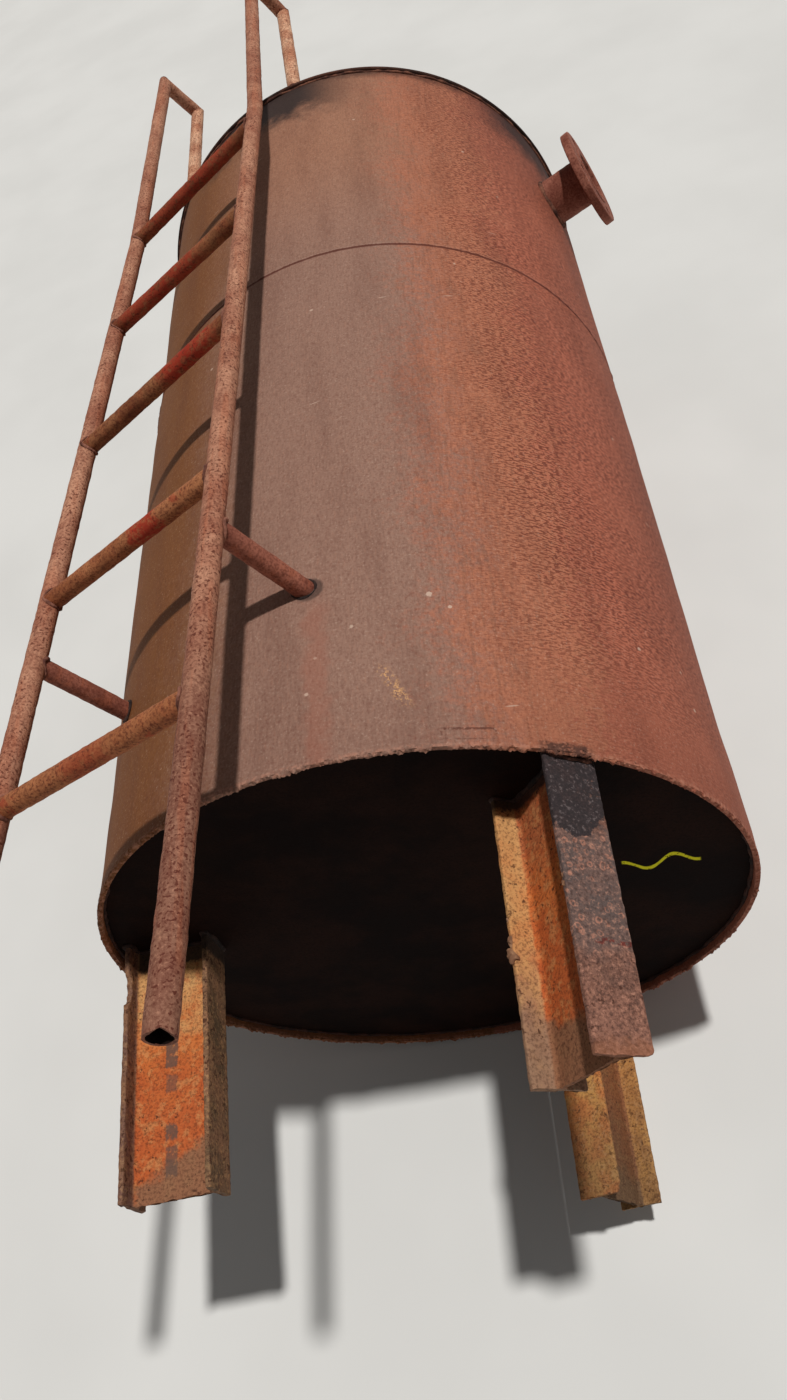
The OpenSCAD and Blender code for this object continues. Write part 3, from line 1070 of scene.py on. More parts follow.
@dataclass
class Tank:
    """The two shell courses, the weld between them and the two end plates."""

    finishes: Finishes
    columns: int = 432
    bore_rows: int = 6
    row_step: float = 0.014
    girth_y: float = 0.920
    gap: float = 0.006
    proud: float = 0.001
    dent: float = 0.0007
    fade: float = 0.03
    seam_columns: int = 1400
    seam_ripple: float = 0.005
    seam_toe: float = 0.0012
    rim_columns: int = 1500
    rim_tooth: float = 0.0009
    disc_columns: int = 288
    disc_rows: int = 34
    disc_edge: float = 0.0015
    weld_columns: int = 1100

    def build(self) -> None:
        """Builds every piece of the tank."""
        shell = ShellRust().make()
        low, high = self.girth_y - self.gap / 2, self.girth_y + self.gap / 2
        self._course("lower", 0.0, low, shell)
        upper = self._course("upper", high, TANK_LEN, shell)
        drill(upper, [hole_loops(0.0, 0.0, NOZZLE_R + SEAT, SHELL_R - 0.05, SHELL_R + 0.05)])
        self._girth_seam(low, high, shell)
        self._rim_edge(shell)
        # The bottom plate's near-black colours are partly painted shade of the recess.
        bottom = PlateRust("bottom_rust_and_shade", stroke_at=(0.262, 0.470))
        roof = PlateRust("roof_rust", dark=(50, 38, 34), light=(96, 62, 50))
        self._disc("bottom", BORE_R - SEAT, RECESS, 0.0004, bottom.make())
        # A near-black weld, partly painted shade inside the recess.
        seam = WeldRust("bottom_weld_rust_and_shade", dark=(32, 21, 18), light=(70, 44, 36))
        self._end_weld("bottom", BORE_R - 0.0012, RECESS - 0.001, 0.0028, 51, seam.make())
        self._disc("roof", ROOF_R, TANK_LEN, 0.0, roof.make())
        self._end_weld("roof", SHELL_R + 0.0008, TANK_LEN - 0.001, 0.0026, 61, self.finishes.weld)

    @staticmethod
    def _round(count: int, radius: Array, along: Array) -> Array:
        """Points of revolution about the tank's axis.

        Args:
            count: number of columns.
            radius: radius of each row or point.
            along: distance of each row or point from the leg rim.

        Returns:
            Rows by columns by 3, in the part's frame.
        """
        angles = circle_angles(count)
        parts = np.broadcast_arrays(radius * np.cos(angles), radius * np.sin(angles), along)
        return lay(0.0, np.stack(parts, axis=-1))

    def _course(self, word: str, start: float, end: float, finish: Material) -> bpy.types.Object:
        """One rolled plate, faintly dented.

        Args:
            word: which of the two courses it is.
            start: its first edge, from the leg rim.
            end: its last edge, from the leg rim.
            finish: its material.

        Returns:
            The piece.
        """
        rows = np.linspace(start, end, max(2, round((end - start) / self.row_step)))
        radius = np.concatenate([np.full(len(rows), SHELL_R), np.full(self.bore_rows, BORE_R)])[:, None]
        along = np.concatenate([rows, np.linspace(end, start, self.bore_rows)])[:, None]
        points = self._round(self.columns, radius, along)
        outward = unit((points - np.array([AXIS_X, 0, AXIS_Z])) * np.array([1, 0, 1]))
        fade = np.clip((along - start) / self.fade, 0, 1) * np.clip((end - along) / self.fade, 0, 1)
        wave = lumps(11, 0.33, points) + 0.35 * lumps(12, 0.12, points)
        points = points + outward * (wave * self.dent * fade)[..., None]
        return Surface().grid(points).piece(f"shell_skin_{word}", Slot.SHELL, finish, f"shell_{word}_course")

    def _girth_seam(self, low: float, high: float, finish: Material) -> None:
        """The weld between the courses, a low rippled crest.

        Args:
            low: its edge at the lower course, from the leg rim.
            high: its edge at the upper course, from the leg rim.
            finish: its material.
        """
        crest, shoulder = SHELL_R + self.proud, SHELL_R + 0.6 * self.proud
        section = np.array([
            (BORE_R, low), (SHELL_R, low), (shoulder, low + self.seam_toe), (crest, self.girth_y),
            (shoulder, high - self.seam_toe), (SHELL_R, high), (BORE_R, high),
        ])
        radius, along = section.T[..., None]
        lump = lumps(21, 0.012, self._round(self.seam_columns, radius, along))
        ripple = np.abs(np.sin(circle_angles(self.seam_columns) * SHELL_R * math.pi / self.seam_ripple))
        free = np.array([0, 0, 1, 1, 1, 0, 0])[:, None]
        radius = radius + free * (0.25 * lump - 0.5 * ripple) * self.proud
        points = self._round(self.seam_columns, radius, along)
        Surface().grid(points).piece("girth_seam", Slot.SHELL, finish, "girth_weld")

    def _rim_edge(self, finish: Material) -> None:
        """The rough cut edge of the shell at the legs, with its ragged bevel.

        Args:
            finish: its material.
        """
        profile = np.array([
            (BORE_R - 0.0002, 0.009), (BORE_R - 0.0003, 0.002), (BORE_R + 0.001, -0.0006),
            (BORE_R + 0.003, -0.0012), (SHELL_R - 0.0015, -0.0010), (SHELL_R, 0.0002),
            (SHELL_R + 0.0003, 0.002), (SHELL_R + 0.0004, 0.0045), (SHELL_R + 0.0001, 0.0075),
            (SHELL_R - 0.0006, 0.0105),
        ])
        free = np.array([0, 0.5, 1, 1, 1, 1, 0.9, 0.7, 0.3, 0.0])[:, None]
        radius, along = profile.T[..., None]
        flat = self._round(self.rim_columns, radius, along)
        along = along + free * self.rim_tooth * (lumps(31, 0.0045, flat) + lumps(32, 0.02, flat))
        radius = radius + free * 0.0003 * lumps(33, 0.005, flat) * (radius > BORE_R + 0.002)
        Surface().grid(self._round(self.rim_columns, radius, along)).piece("rim_edge", Slot.SHELL, finish)

    def _disc(self, word: str, radius: float, face: float, wave: float, finish: Material) -> None:
        """An end plate with a rounded edge and faintly waved faces.

        Args:
            word: which of the two plates it is.
            radius: its radius.
            face: its side towards the legs, from the leg rim.
            wave: height of its waves.
            finish: its material.
        """
        back, count, soft = face + PLATE_T, self.disc_rows, self.disc_edge
        flat = np.linspace(0.004, radius - 0.004, count)
        edge = radius - np.array([soft, 0.0002, 0.0002, soft])
        rows = np.concatenate([flat, edge, flat[::-1]])[:, None]
        turns = [face, face + soft, back - soft, back]
        along = np.concatenate([np.full(count, face), turns, np.full(count, back)])[:, None]
        points = self._round(self.disc_columns, rows, along)
        points[..., 1] += wave * lumps(41, 0.4, points) * np.clip((radius - rows) / 0.06, 0, 1)
        surface = Surface().grid(points, ring=False)
        surface.piece(f"{word}_disc", Slot.END_PLATE, finish, f"{word}_plate")

    def _end_weld(self, word: str, radius: float, along: float, size: float, seed: int,
                  finish: Material) -> None:
        """The weld round an end plate, at its distances from the tank's axis and from the leg rim."""
        path = self._round(self.weld_columns, np.array([[radius]]), np.array([[along]]))[0]
        Surface().bead(path, size, seed).piece(f"{word}_weld", Slot.END_PLATE, finish)


@dataclass(frozen=True)
class LegPlace:
    """Where one leg stands round the rim, how it leans, and what is torn from it."""

    name: str
    node: str
    angle: float
    inset: float
    turn: float
    length: float
    lean_in: float
    lean_down: float
    look: LegLook
    edge_bites: tuple[Triple, ...] = ()
    foot_bites: tuple[Triple, ...] = ()
    foot_slant: tuple[float, float] = (0.0, 0.0)
    foot_corner: float = 0.0


@dataclass
class Legs:
    """The three I-section legs, with their root welds."""

    finishes: Finishes
    depth: float = 0.112
    width: float = 0.059
    flange_t: float = 0.0065
    web_t: float = 0.005
    fillet_r: float = 0.007
    toe_r: float = 0.0016
    step: float = 0.0042
    toe_keep: float = 0.010
    rows: int = 75
    foot_zone: float = 0.013
    stub_shape: Triple = (0.62, 0.75, 1.15)
    places: tuple[LegPlace, ...] = (
        LegPlace("leg_beam_top_right", "leg_top_right", 56, 0.0045, -5, 0.293, 0, 0, LegLook.PAINTED,
                 foot_slant=(-0.0044, 0.0028), foot_corner=0.0075),
        LegPlace("leg_beam_left", "leg_left", 170, 0.017, 9.5, 0.293, 3.3, 1.9, LegLook.ORANGE,
                 edge_bites=((0.031, 0.008, 0.008), (0.043, 0.009, 0.010), (0.054, 0.007, 0.007))),
        LegPlace("leg_beam_low_right", "leg_low_right", 297.5, 0.008, -3.5, 0.283, 0, 0, LegLook.PALE,
                 foot_bites=((0.0, 0.006, 0.0045), (0.007, 0.004, 0.003))),
    )
    stubs: tuple[Triple, ...] = (
        (-1, 0.178, 0.0074), (-1, 0.163, 0.0044), (-1, 0.140, 0.0022), (1, 0.152, 0.0028), (1, 0.144, 0.0018),
    )

    def build(self) -> None:
        """Builds the three legs, their welds and the stubs of old weld."""
        for number, place in enumerate(self.places):
            self._beam(place, number)
            self._root_weld(place, number)
        self._rim_weld(self.places[0])
        self._remnants(self.places[0])

    def outline(self) -> Array:
        """The I section's outline, with fillets and rounded toes, anticlockwise.

        Returns:
            Points by 2, X along the section's depth.
        """
        a, b = self.depth / 2, self.width / 2
        c, d = a - self.flange_t, self.web_t / 2
        corners = np.array([(a, -b), (a, b), (c, b), (c, d), (-c, d), (-c, b),
                            (-a, b), (-a, -b), (-c, -b), (-c, -d), (c, -d), (c, -b)])
        inside = {3, 4, 9, 10}
        radii = [self.fillet_r if index in inside else self.toe_r for index in range(len(corners))]
        line: list[Array] = []
        for index, here in enumerate(corners):
            before, after = corners[index - 1], corners[index + 1 - len(corners)]
            to_before, to_after = unit(before - here) * radii[index], unit(after - here) * radii[index]
            centre = here + to_before + to_after
            for share in np.linspace(0, math.pi / 2, 7 if index in inside else 4):
                line.append(centre - to_after * math.cos(share) - to_before * math.sin(share))
            end = here + to_after
            stop = after + unit(here - after) * radii[index + 1 - len(corners)]
            count = max(1, round(np.linalg.norm(stop - end) / self.step))
            line.extend(end + (stop - end) * share for share in np.linspace(0, 1, count + 1)[1:-1])
        return np.array(line)

    def to_part(self, place: LegPlace, points: Array) -> Array:
        """Turns points of a leg's own frame to the part's frame.

        Args:
            place: the leg.
            points: X along the section's depth, Z up the leg to its root.

        Returns:
            The points in the part's frame.
        """
        for axis, degrees in (("X", -place.lean_down), ("Y", place.lean_in), ("Z", -place.turn)):
            points = points @ np.array(Matrix.Rotation(math.radians(degrees), 3, axis)).T
        return lay(place.angle, points + np.array([BORE_R - place.inset - self.depth / 2, 0, RECESS]))

    def _beam(self, place: LegPlace, number: int) -> None:
        """One leg, wavy and nicked, with its foot torn as it was cut.

        Args:
            place: the leg.
            number: its number, for the random draws.
        """
        outline, foot = self.outline(), -RECESS - place.length
        low = foot + np.array([0.0100, 0.0078, 0.0056, 0.0036, 0.0018, 0.0])
        heights = np.concatenate([np.linspace(0.0, foot + self.foot_zone, self.rows), low])
        rise = heights - foot
        points = np.zeros((len(heights), len(outline), 3))
        points[..., :2] = outline[None]
        points[..., 2] = heights[:, None]
        self._narrow(points, 1, self._torn(-RECESS - heights, place.edge_bites))
        self._narrow(points, -1, self._torn(rise, place.foot_bites))
        corner = place.foot_corner
        self._narrow(points, 1, corner - np.sqrt(corner**2 - np.clip(corner - rise, 0, None) ** 2))
        wave = lumps(70 + number, 0.016, points) * 0.00022 + lumps(80 + number, 0.006, points) * 0.00014
        points[..., 0] += wave
        points[..., 1] += lumps(90 + number, 0.009, points) * 0.0002
        points[-1, :, 2] += np.clip(lumps(95 + number, 0.008, points[-1]) * 0.0007 + 0.0008, 0, 0.0016)
        slant = outline @ (np.array(place.foot_slant) / np.array([self.depth, self.width]))
        points[..., 2] += slant * np.clip(1 - rise / 0.05, 0, 1)[:, None]
        surface = Surface().grid(self.to_part(place, self._root_trim(place, points)), ring=False)
        origin, *ways = self.to_part(place, np.array([[0, 0, 0], [1, 0, 0], [0, 1, 0], [0, 0, -1.0]]))
        finish = LegRust(f"{place.name}_rust", place.look, origin, [way - origin for way in ways])
        surface.piece(place.name, Slot.LEG, finish.make(), place.node)

    def _root_trim(self, place: LegPlace, points: Array) -> Array:
        """Moves the first row along the leg until it meets the bottom plate.

        Args:
            place: the leg.
            points: rows by columns by 3, in the leg's own frame.

        Returns:
            The moved points.
        """
        first = self.to_part(place, points[:1])
        down = self.to_part(place, points[:1] + np.array([0, 0, -1.0])) - first
        moved = points.copy()
        moved[:1, :, 2] -= (RIM_Y + RECESS - first[..., 1]) / down[..., 1]
        return moved

    @staticmethod
    def _torn(heights: Array, bites: tuple[Triple, ...]) -> Array:
        """How far round bites draw an edge in.

        Args:
            heights: the height of each row.
            bites: each bite's height, radius and depth.

        Returns:
            One distance for each row.
        """
        loss = np.zeros(len(heights))
        for height, radius, depth in bites:
            away = np.abs(heights - height)
            chord = np.sqrt(np.clip(radius**2 - away**2, 0, None))
            loss = np.maximum(loss, np.where(away < radius, depth - radius + chord, 0))
        return loss

    def _narrow(self, points: Array, side: int, loss: Array) -> None:
        """Draws one edge of one flange in, keeping its toe's shape.

        Args:
            points: rows by columns by 3, changed in place.
            side: 1 for the outer flange's edge on the right, -1 for the inner one's on the left.
            loss: how far the edge moves, for each row.
        """
        half, keep = self.width / 2, self.toe_keep
        on_flange = side * points[..., 0] > self.depth / 2 - self.flange_t - 0.0005
        out = side * points[..., 1]
        pulled = keep + (out - keep) * (half - loss[:, None] - keep) / (half - keep)
        points[..., 1] = np.where(on_flange & (out > keep), side * pulled, points[..., 1])

    def _root_weld(self, place: LegPlace, number: int) -> None:
        """The weld round the leg's root, on the bottom plate.

        Args:
            place: the leg.
            number: its number, for the random draws.
        """
        points = np.pad(self.outline(), ((0, 0), (0, 1)))
        path = self.to_part(place, self._root_trim(place, points[None])[0])
        path[:, 1] -= 0.0008
        dense = np.concatenate([path + (np.roll(path, -1, axis=0) - path) * share for share in (0, 0.5)], 1)
        surface = Surface().bead(dense.reshape(-1, 3), 0.0034, 100 + number)
        # Near-black: painted shade, as the leg's root stands in the shell's shade.
        surface.piece(f"{place.name}_weld", Slot.LEG, self.finishes.burnt_and_shade)

    def _rim_weld(self, place: LegPlace) -> None:
        """The ragged bead between the outer flange and the shell's rim.

        Args:
            place: the leg.
        """
        width = np.linspace(-self.width / 2 + 0.003, self.width / 2 - 0.004, 60)
        rise = -RECESS + 0.0006 * lumps(131, 0.02, np.stack([width, width, width], -1))
        path = np.stack([np.full_like(width, self.depth / 2 + 0.0012), width, rise], -1)
        surface = Surface().bead(self.to_part(place, path), 0.0030, 130, closed=False)
        surface.piece("leg_rim_weld", Slot.LEG, self.finishes.weld)

    def _remnants(self, place: LegPlace) -> None:
        """Stubs of old weld on the flanges' left edges.

        Args:
            place: the leg.
        """
        surface = Surface()
        tilts, turns = np.linspace(0.08, math.pi - 0.08, 12)[:, None], circle_angles(16)[None, :]
        parts = np.sin(tilts) * np.cos(turns), np.sin(tilts) * np.sin(turns), np.cos(tilts)
        egg = np.stack(np.broadcast_arrays(*parts), -1) * np.array(self.stub_shape)
        for number, (side, reach, size) in enumerate(self.stubs):
            centre = np.array([side * (self.depth - self.flange_t) / 2, -self.width / 2, -reach])
            ball = egg * size
            ball = ball * (1 + 0.22 * lumps(140 + number, size * 1.1, ball))[..., None]
            surface.grid(self.to_part(place, centre + ball), ring=False)
        surface.piece("leg_weld_stubs", Slot.LEG, self.finishes.stub)


@dataclass(frozen=True)
class LadderSizes:
    """Sizes of the ladder and its grab rails, in the frame of the ladder on the standing tank."""

    angle: float = 115.0
    pipe_r: float = 0.01335
    rung_r: float = 0.01235
    wall: float = 0.0029
    width: float = 0.320
    gap: float = 0.1115
    lean: float = 2.2
    stringer_lean: float = 0.8
    tail: float = 0.306
    rung_first: float = 0.018
    rung_step: float = 0.304
    rung_shift: tuple[float, ...] = (0.0, 0.008, 0.018, 0.010, 0.0)
    rung_rise: tuple[float, ...] = (0.022, 0.012, 0.0, 0.024, 0.008)
    strut_y: float = 0.236
    left_joint: float = 1.236
    right_joint: float = 1.300
    rail_top: float = 1.888
    cross_rise: float = 0.018
    rail_depth: float = 0.090
    return_inset: float = 0.014
    rail_lean: float = 2.0
    rail_out: float = 1.0

    def stringer_at(self, side: int, z: float) -> Array:
        """A place on a stringer's axis.

        Args:
            side: 1 for right, -1 for left.
            z: distance from the leg rim.

        Returns:
            The place in the ladder's frame.
        """
        inward = math.tan(math.radians(self.stringer_lean)) * z if side > 0 else 0.0
        out = SHELL_R + self.gap - math.tan(math.radians(self.lean)) * z
        return np.array([out, side * self.width / 2 - inward, z])

    def pipe_run(self, side: int) -> list[Array]:
        """The corners of one side's pipes.

        Args:
            side: 1 for right, -1 for left.

        Returns:
            Five places, from the sawn lower end to the roof plate.
        """
        joint = self.stringer_at(side, self.right_joint if side > 0 else self.left_joint)
        lean = np.array([0.0, 0.0, 1.0])
        if side > 0:
            lean[0] = math.tan(math.radians(self.rail_out))
            lean[1] = -math.tan(math.radians(self.rail_lean))
        corner = joint + lean * (self.rail_top - joint[2])
        inner = corner + np.array([-self.rail_depth, 0, self.cross_rise])
        out = math.sqrt((ROOF_R - self.return_inset) ** 2 - joint[1] ** 2)
        last = np.array([out, joint[1], TANK_LEN + PLATE_T])
        return [self.stringer_at(side, -self.tail), joint, corner, inner, last]

    def foot_of_strut(self, side: int) -> Array:
        """Where a strut meets the shell."""
        start = self.stringer_at(side, self.strut_y)
        return np.array([math.sqrt(SHELL_R**2 - start[1] ** 2), start[1], start[2]])


LADDER = LadderSizes()


@dataclass(frozen=True)
class Cut:
    """What ends a pipe: a plane, or a round pipe or shell that it is coped to."""

    point: Array
    normal: Array
    radius: float = 0.0
    far_side: bool = True

    def reach(self, start: Array, direction: Array) -> Array:
        """How far each line runs along a direction until it meets this end.

        Args:
            start: the lines' first points.
            direction: their shared direction.

        Returns:
            One distance for each line.
        """
        apart = start - self.point
        if not self.radius:
            return -(apart @ self.normal) / (direction @ self.normal)
        across = apart - (apart @ self.normal)[..., None] * self.normal
        along = direction - (direction @ self.normal) * self.normal
        a, b = along @ along, across @ along
        c = (across * across).sum(-1) - self.radius**2
        root = np.sqrt(np.clip(b * b - a * c, 0, None))
        return (-b + root) / a if self.far_side else (-b - root) / a

    def loop(self, start: Array, direction: Array, radius: float, columns: int) -> Array:
        """The loop in which a pipe meets this end.

        Args:
            start: a place on the pipe's axis.
            direction: the way that the pipe runs.
            radius: its radius.
            columns: number of points.

        Returns:
            Columns by 3.
        """
        helper = UP_THE_TANK if abs(direction[2]) < 0.9 else np.array([1.0, 0.0, 0.0])
        first = unit(np.cross(helper, direction))
        second = np.cross(direction, first)
        angles = circle_angles(columns)[:, None]
        lines = start + radius * (np.cos(angles) * first + np.sin(angles) * second)
        return lines + self.reach(lines, direction)[:, None] * direction


@dataclass(frozen=True)
class Pipe:
    """A straight pipe of one side of the tank, cut at both its ends."""

    angle: float
    start: Array
    end: Array
    cuts: tuple[Cut, Cut]
    radius: float
    columns: int = 44
    row_step: float = 0.007
    bore_rows: int = 4
    weld_columns: int = 150
    pitting: float = 0.00016
    bow: float = 0.0001
    inset: float = 0.00025

    @property
    def direction(self) -> Array:
        """The way that the pipe runs."""
        return unit(self.end - self.start)

    def surface(self, seed: int, bruise: Optional[Callable[[Array], Array]] = None) -> Surface:
        """The pipe with its wall and bore, faintly lumpy.

        Args:
            seed: start of the random draws.
            bruise: changes the points in the ladder's frame, where it is given.

        Returns:
            The surface in the part's frame.
        """
        loops = [[cut.loop(self.start, self.direction, size, self.columns) for cut in self.cuts]
                 for size in (self.radius, self.radius - LADDER.wall)]
        rows = max(3, round(np.linalg.norm(self.end - self.start) / self.row_step))
        outside, inside = (
            first + (last - first) * np.linspace(0, 1, count)[:, None, None]
            for (first, last), count in zip(loops, (rows, self.bore_rows))
        )
        axis = self.start + ((outside - self.start) @ self.direction)[..., None] * self.direction
        rough = lumps(seed, 0.011, outside) * self.pitting + lumps(seed + 1, 0.05, outside) * self.bow
        outside = outside + unit(outside - axis) * (rough - self.inset)[..., None]
        points = np.concatenate([outside, inside[::-1]])
        made = Surface().grid(lay(self.angle, points if bruise is None else bruise(points)))
        made.inner = range(rows * self.columns, (rows + self.bore_rows - 1) * self.columns)
        return made

    def weld(self, welds: Surface, cut: Cut, size: float, seed: int, sunk: float = 0.0) -> None:
        """Adds the bead that joins the pipe's end to what it meets.

        Args:
            welds: what the bead is added to.
            cut: the end.
            size: radius of the bead.
            seed: start of the random draws.
            sunk: how far the bead lies below the pipe's surface.
        """
        loop = cut.loop(self.start, self.direction, self.radius - sunk + 0.3 * size, self.weld_columns)
        tip, base = lay(self.angle, np.array([self.direction, np.zeros(3)]))
        welds.bead(lay(self.angle, loop), size, seed, tip - base)


@dataclass
class Ladder:
    """Stringers, rungs, struts and grab rails."""

    finishes: Finishes
    sizes: LadderSizes = LADDER
    weld_r: float = 0.0023
    mitre_r: float = 0.0013
    mitre_sunk: float = 0.0016
    nick_turn: float = 53.0
    nick_half: float = 0.0078
    nick_depth: float = 0.0036
    nick_reach: float = 0.030
    nick_fade: float = 0.004
    end_rough: float = 0.0004
    paint_left: tuple[Triple, ...] = (
        (0.0, 0.050, 0.35), (0.036, 0.030, 0.95), (0.066, 0.070, 0.9), (-0.045, 0.120, 0.75),
        (-0.015, 0.150, 0.6),
    )
    # Scale of each rung's colours, from the legs up: the upper rungs are darker, partly darker rust and
    # partly painted shade.
    rung_shade_scale: tuple[float, ...] = (0.95, 0.9, 0.78, 0.72, 0.66)
    rung_base: Colour = (150, 86, 52)
    rung_light: Colour = (196, 128, 84)
    rung_tail: Colour = (146, 86, 54)

    def build(self) -> None:
        """Builds every piece of the ladder."""
        for side, word in ((-1, "left"), (1, "right")):
            self._side(side, word)
            self._strut(side, word)
        for number in range(len(self.rung_shade_scale)):
            self._rung(number)

    def _nick(self, points: Array) -> Array:
        """Draws the right stringer's sawn end back in a peaked nick on one side.

        Args:
            points: the stringer's points in the ladder's frame.

        Returns:
            The moved points.
        """
        end = self.sizes.stringer_at(1, -self.sizes.tail)
        c, s = math.cos(math.radians(self.nick_turn)), math.sin(math.radians(self.nick_turn))
        out, right, above = np.moveaxis(points - end, -1, 0)
        across, facing = right * c - out * s, out * c + right * s
        peak = np.clip(1 - np.abs(across) / self.nick_half, 0, 1) * np.clip(facing / self.nick_fade, 0, 1)
        rough = self.end_rough * (0.25 + np.clip(lumps(190, 0.006, points), 0, 2))
        need = self.nick_depth * peak + rough
        squeezed = need + above * (self.nick_reach - need) / self.nick_reach
        moved = points.copy()
        moved[..., 2] = end[2] + np.where(above < self.nick_reach, squeezed, above)
        return moved

    def _side(self, side: int, word: str) -> None:
        """One stringer and its grab rail, as four mitred pipes.

        Args:
            side: 1 for right, -1 for left.
            word: the side's name.
        """
        run = self.sizes.pipe_run(side)
        ways = [unit(end - start) for start, end in zip(run, run[1:])]
        turns = [ways[0], *(before + after for before, after in zip(ways, ways[1:])), UP_THE_TANK]
        welds = Surface()
        for index, name in enumerate(("stringer", "rail_post", "rail_cross", "rail_return")):
            cuts = tuple(Cut(run[end], turns[end]) for end in (index, index + 1))
            pipe = Pipe(self.sizes.angle, run[index], run[index + 1], cuts, self.sizes.pipe_r)
            bruise = self._nick if index == 0 and side > 0 else None
            size, finish = self.mitre_r, self.finishes.pipe
            if name == "rail_return":
                size, finish = self.weld_r, self.finishes.rail
            surface = pipe.surface(200 + 20 * index + side, bruise)
            surface.piece(f"{name}_pipe_{word}", Slot.PIPE, finish, f"{name}_{word}", self.finishes.bore)
            pipe.weld(welds, cuts[1], size, 300 + 10 * index + side, self.mitre_sunk)
        welds.piece(f"rail_welds_{word}", Slot.PIPE, self.finishes.joint)

    def _stringer_cut(self, side: int, far_side: bool = True) -> Cut:
        """The stringer that a rung or strut is coped to."""
        low, high = self.sizes.stringer_at(side, 0.0), self.sizes.stringer_at(side, 1.0)
        return Cut(low, unit(high - low), self.sizes.pipe_r + SEAT, far_side)

    def _rung(self, number: int) -> None:
        """One rung, with a weld at each end.

        Args:
            number: its number, from 0 at the legs.
        """
        sizes, shade_scale = self.sizes, self.rung_shade_scale[number]
        z = sizes.rung_first + number * sizes.rung_step + sizes.rung_shift[number]
        lift = sizes.rung_rise[number] / 2
        cuts = self._stringer_cut(-1), self._stringer_cut(1, False)
        start, end = sizes.stringer_at(-1, z + lift), sizes.stringer_at(1, z - lift)
        pipe = Pipe(sizes.angle, start, end, cuts, sizes.rung_r)
        # The rung's colours scaled down by its painted shade.
        tints = self.rung_base, self.rung_light
        base, light = (tuple(round(part * shade_scale) for part in tint) for tint in tints)
        finish = PipeRust(
            f"rung_rust_{number + 1}", base=base, light=light, tail=self.rung_tail, traces=0.5, pits=0.6,
            streaks=0.25, patch=self.paint_left[number],
        )
        surface = pipe.surface(400 + number)
        surface.piece(f"rung_pipe_{number + 1}", Slot.RUNG, finish.make(), f"rung_{number + 1}",
                      self.finishes.bore)
        welds = self._joints(pipe, (420 + number, 440 + number))
        welds.piece(f"rung_welds_{number + 1}", Slot.RUNG, self.finishes.joint)

    def _joints(self, pipe: Pipe, seeds: tuple[int, int]) -> Surface:
        """The welds at both ends of a rung or strut.

        Args:
            pipe: the rung or strut.
            seeds: starts of the random draws.

        Returns:
            The two beads.
        """
        welds = Surface()
        for cut, seed in zip(pipe.cuts, seeds):
            pipe.weld(welds, cut, self.weld_r, seed)
        return welds

    def _strut(self, side: int, word: str) -> None:
        """One strut from its stringer in to the shell.

        Args:
            side: 1 for right, -1 for left.
            word: the side's name.
        """
        sizes, finishes = self.sizes, self.finishes
        cuts = self._stringer_cut(side), Cut(np.zeros(3), UP_THE_TANK, SHELL_R + SEAT, False)
        pipe = Pipe(sizes.angle, sizes.stringer_at(side, sizes.strut_y), sizes.foot_of_strut(side), cuts,
                    sizes.rung_r)
        surface = pipe.surface(460 + side)
        surface.piece(f"strut_pipe_{word}", Slot.PIPE, finishes.strut, f"strut_{word}", finishes.bore)
        welds = self._joints(pipe, (470 + side, 480 + side))
        welds.inner = range(len(welds.faces) // 2)
        welds.piece(f"strut_welds_{word}", Slot.PIPE, finishes.burnt_and_shade, bore=finishes.joint)


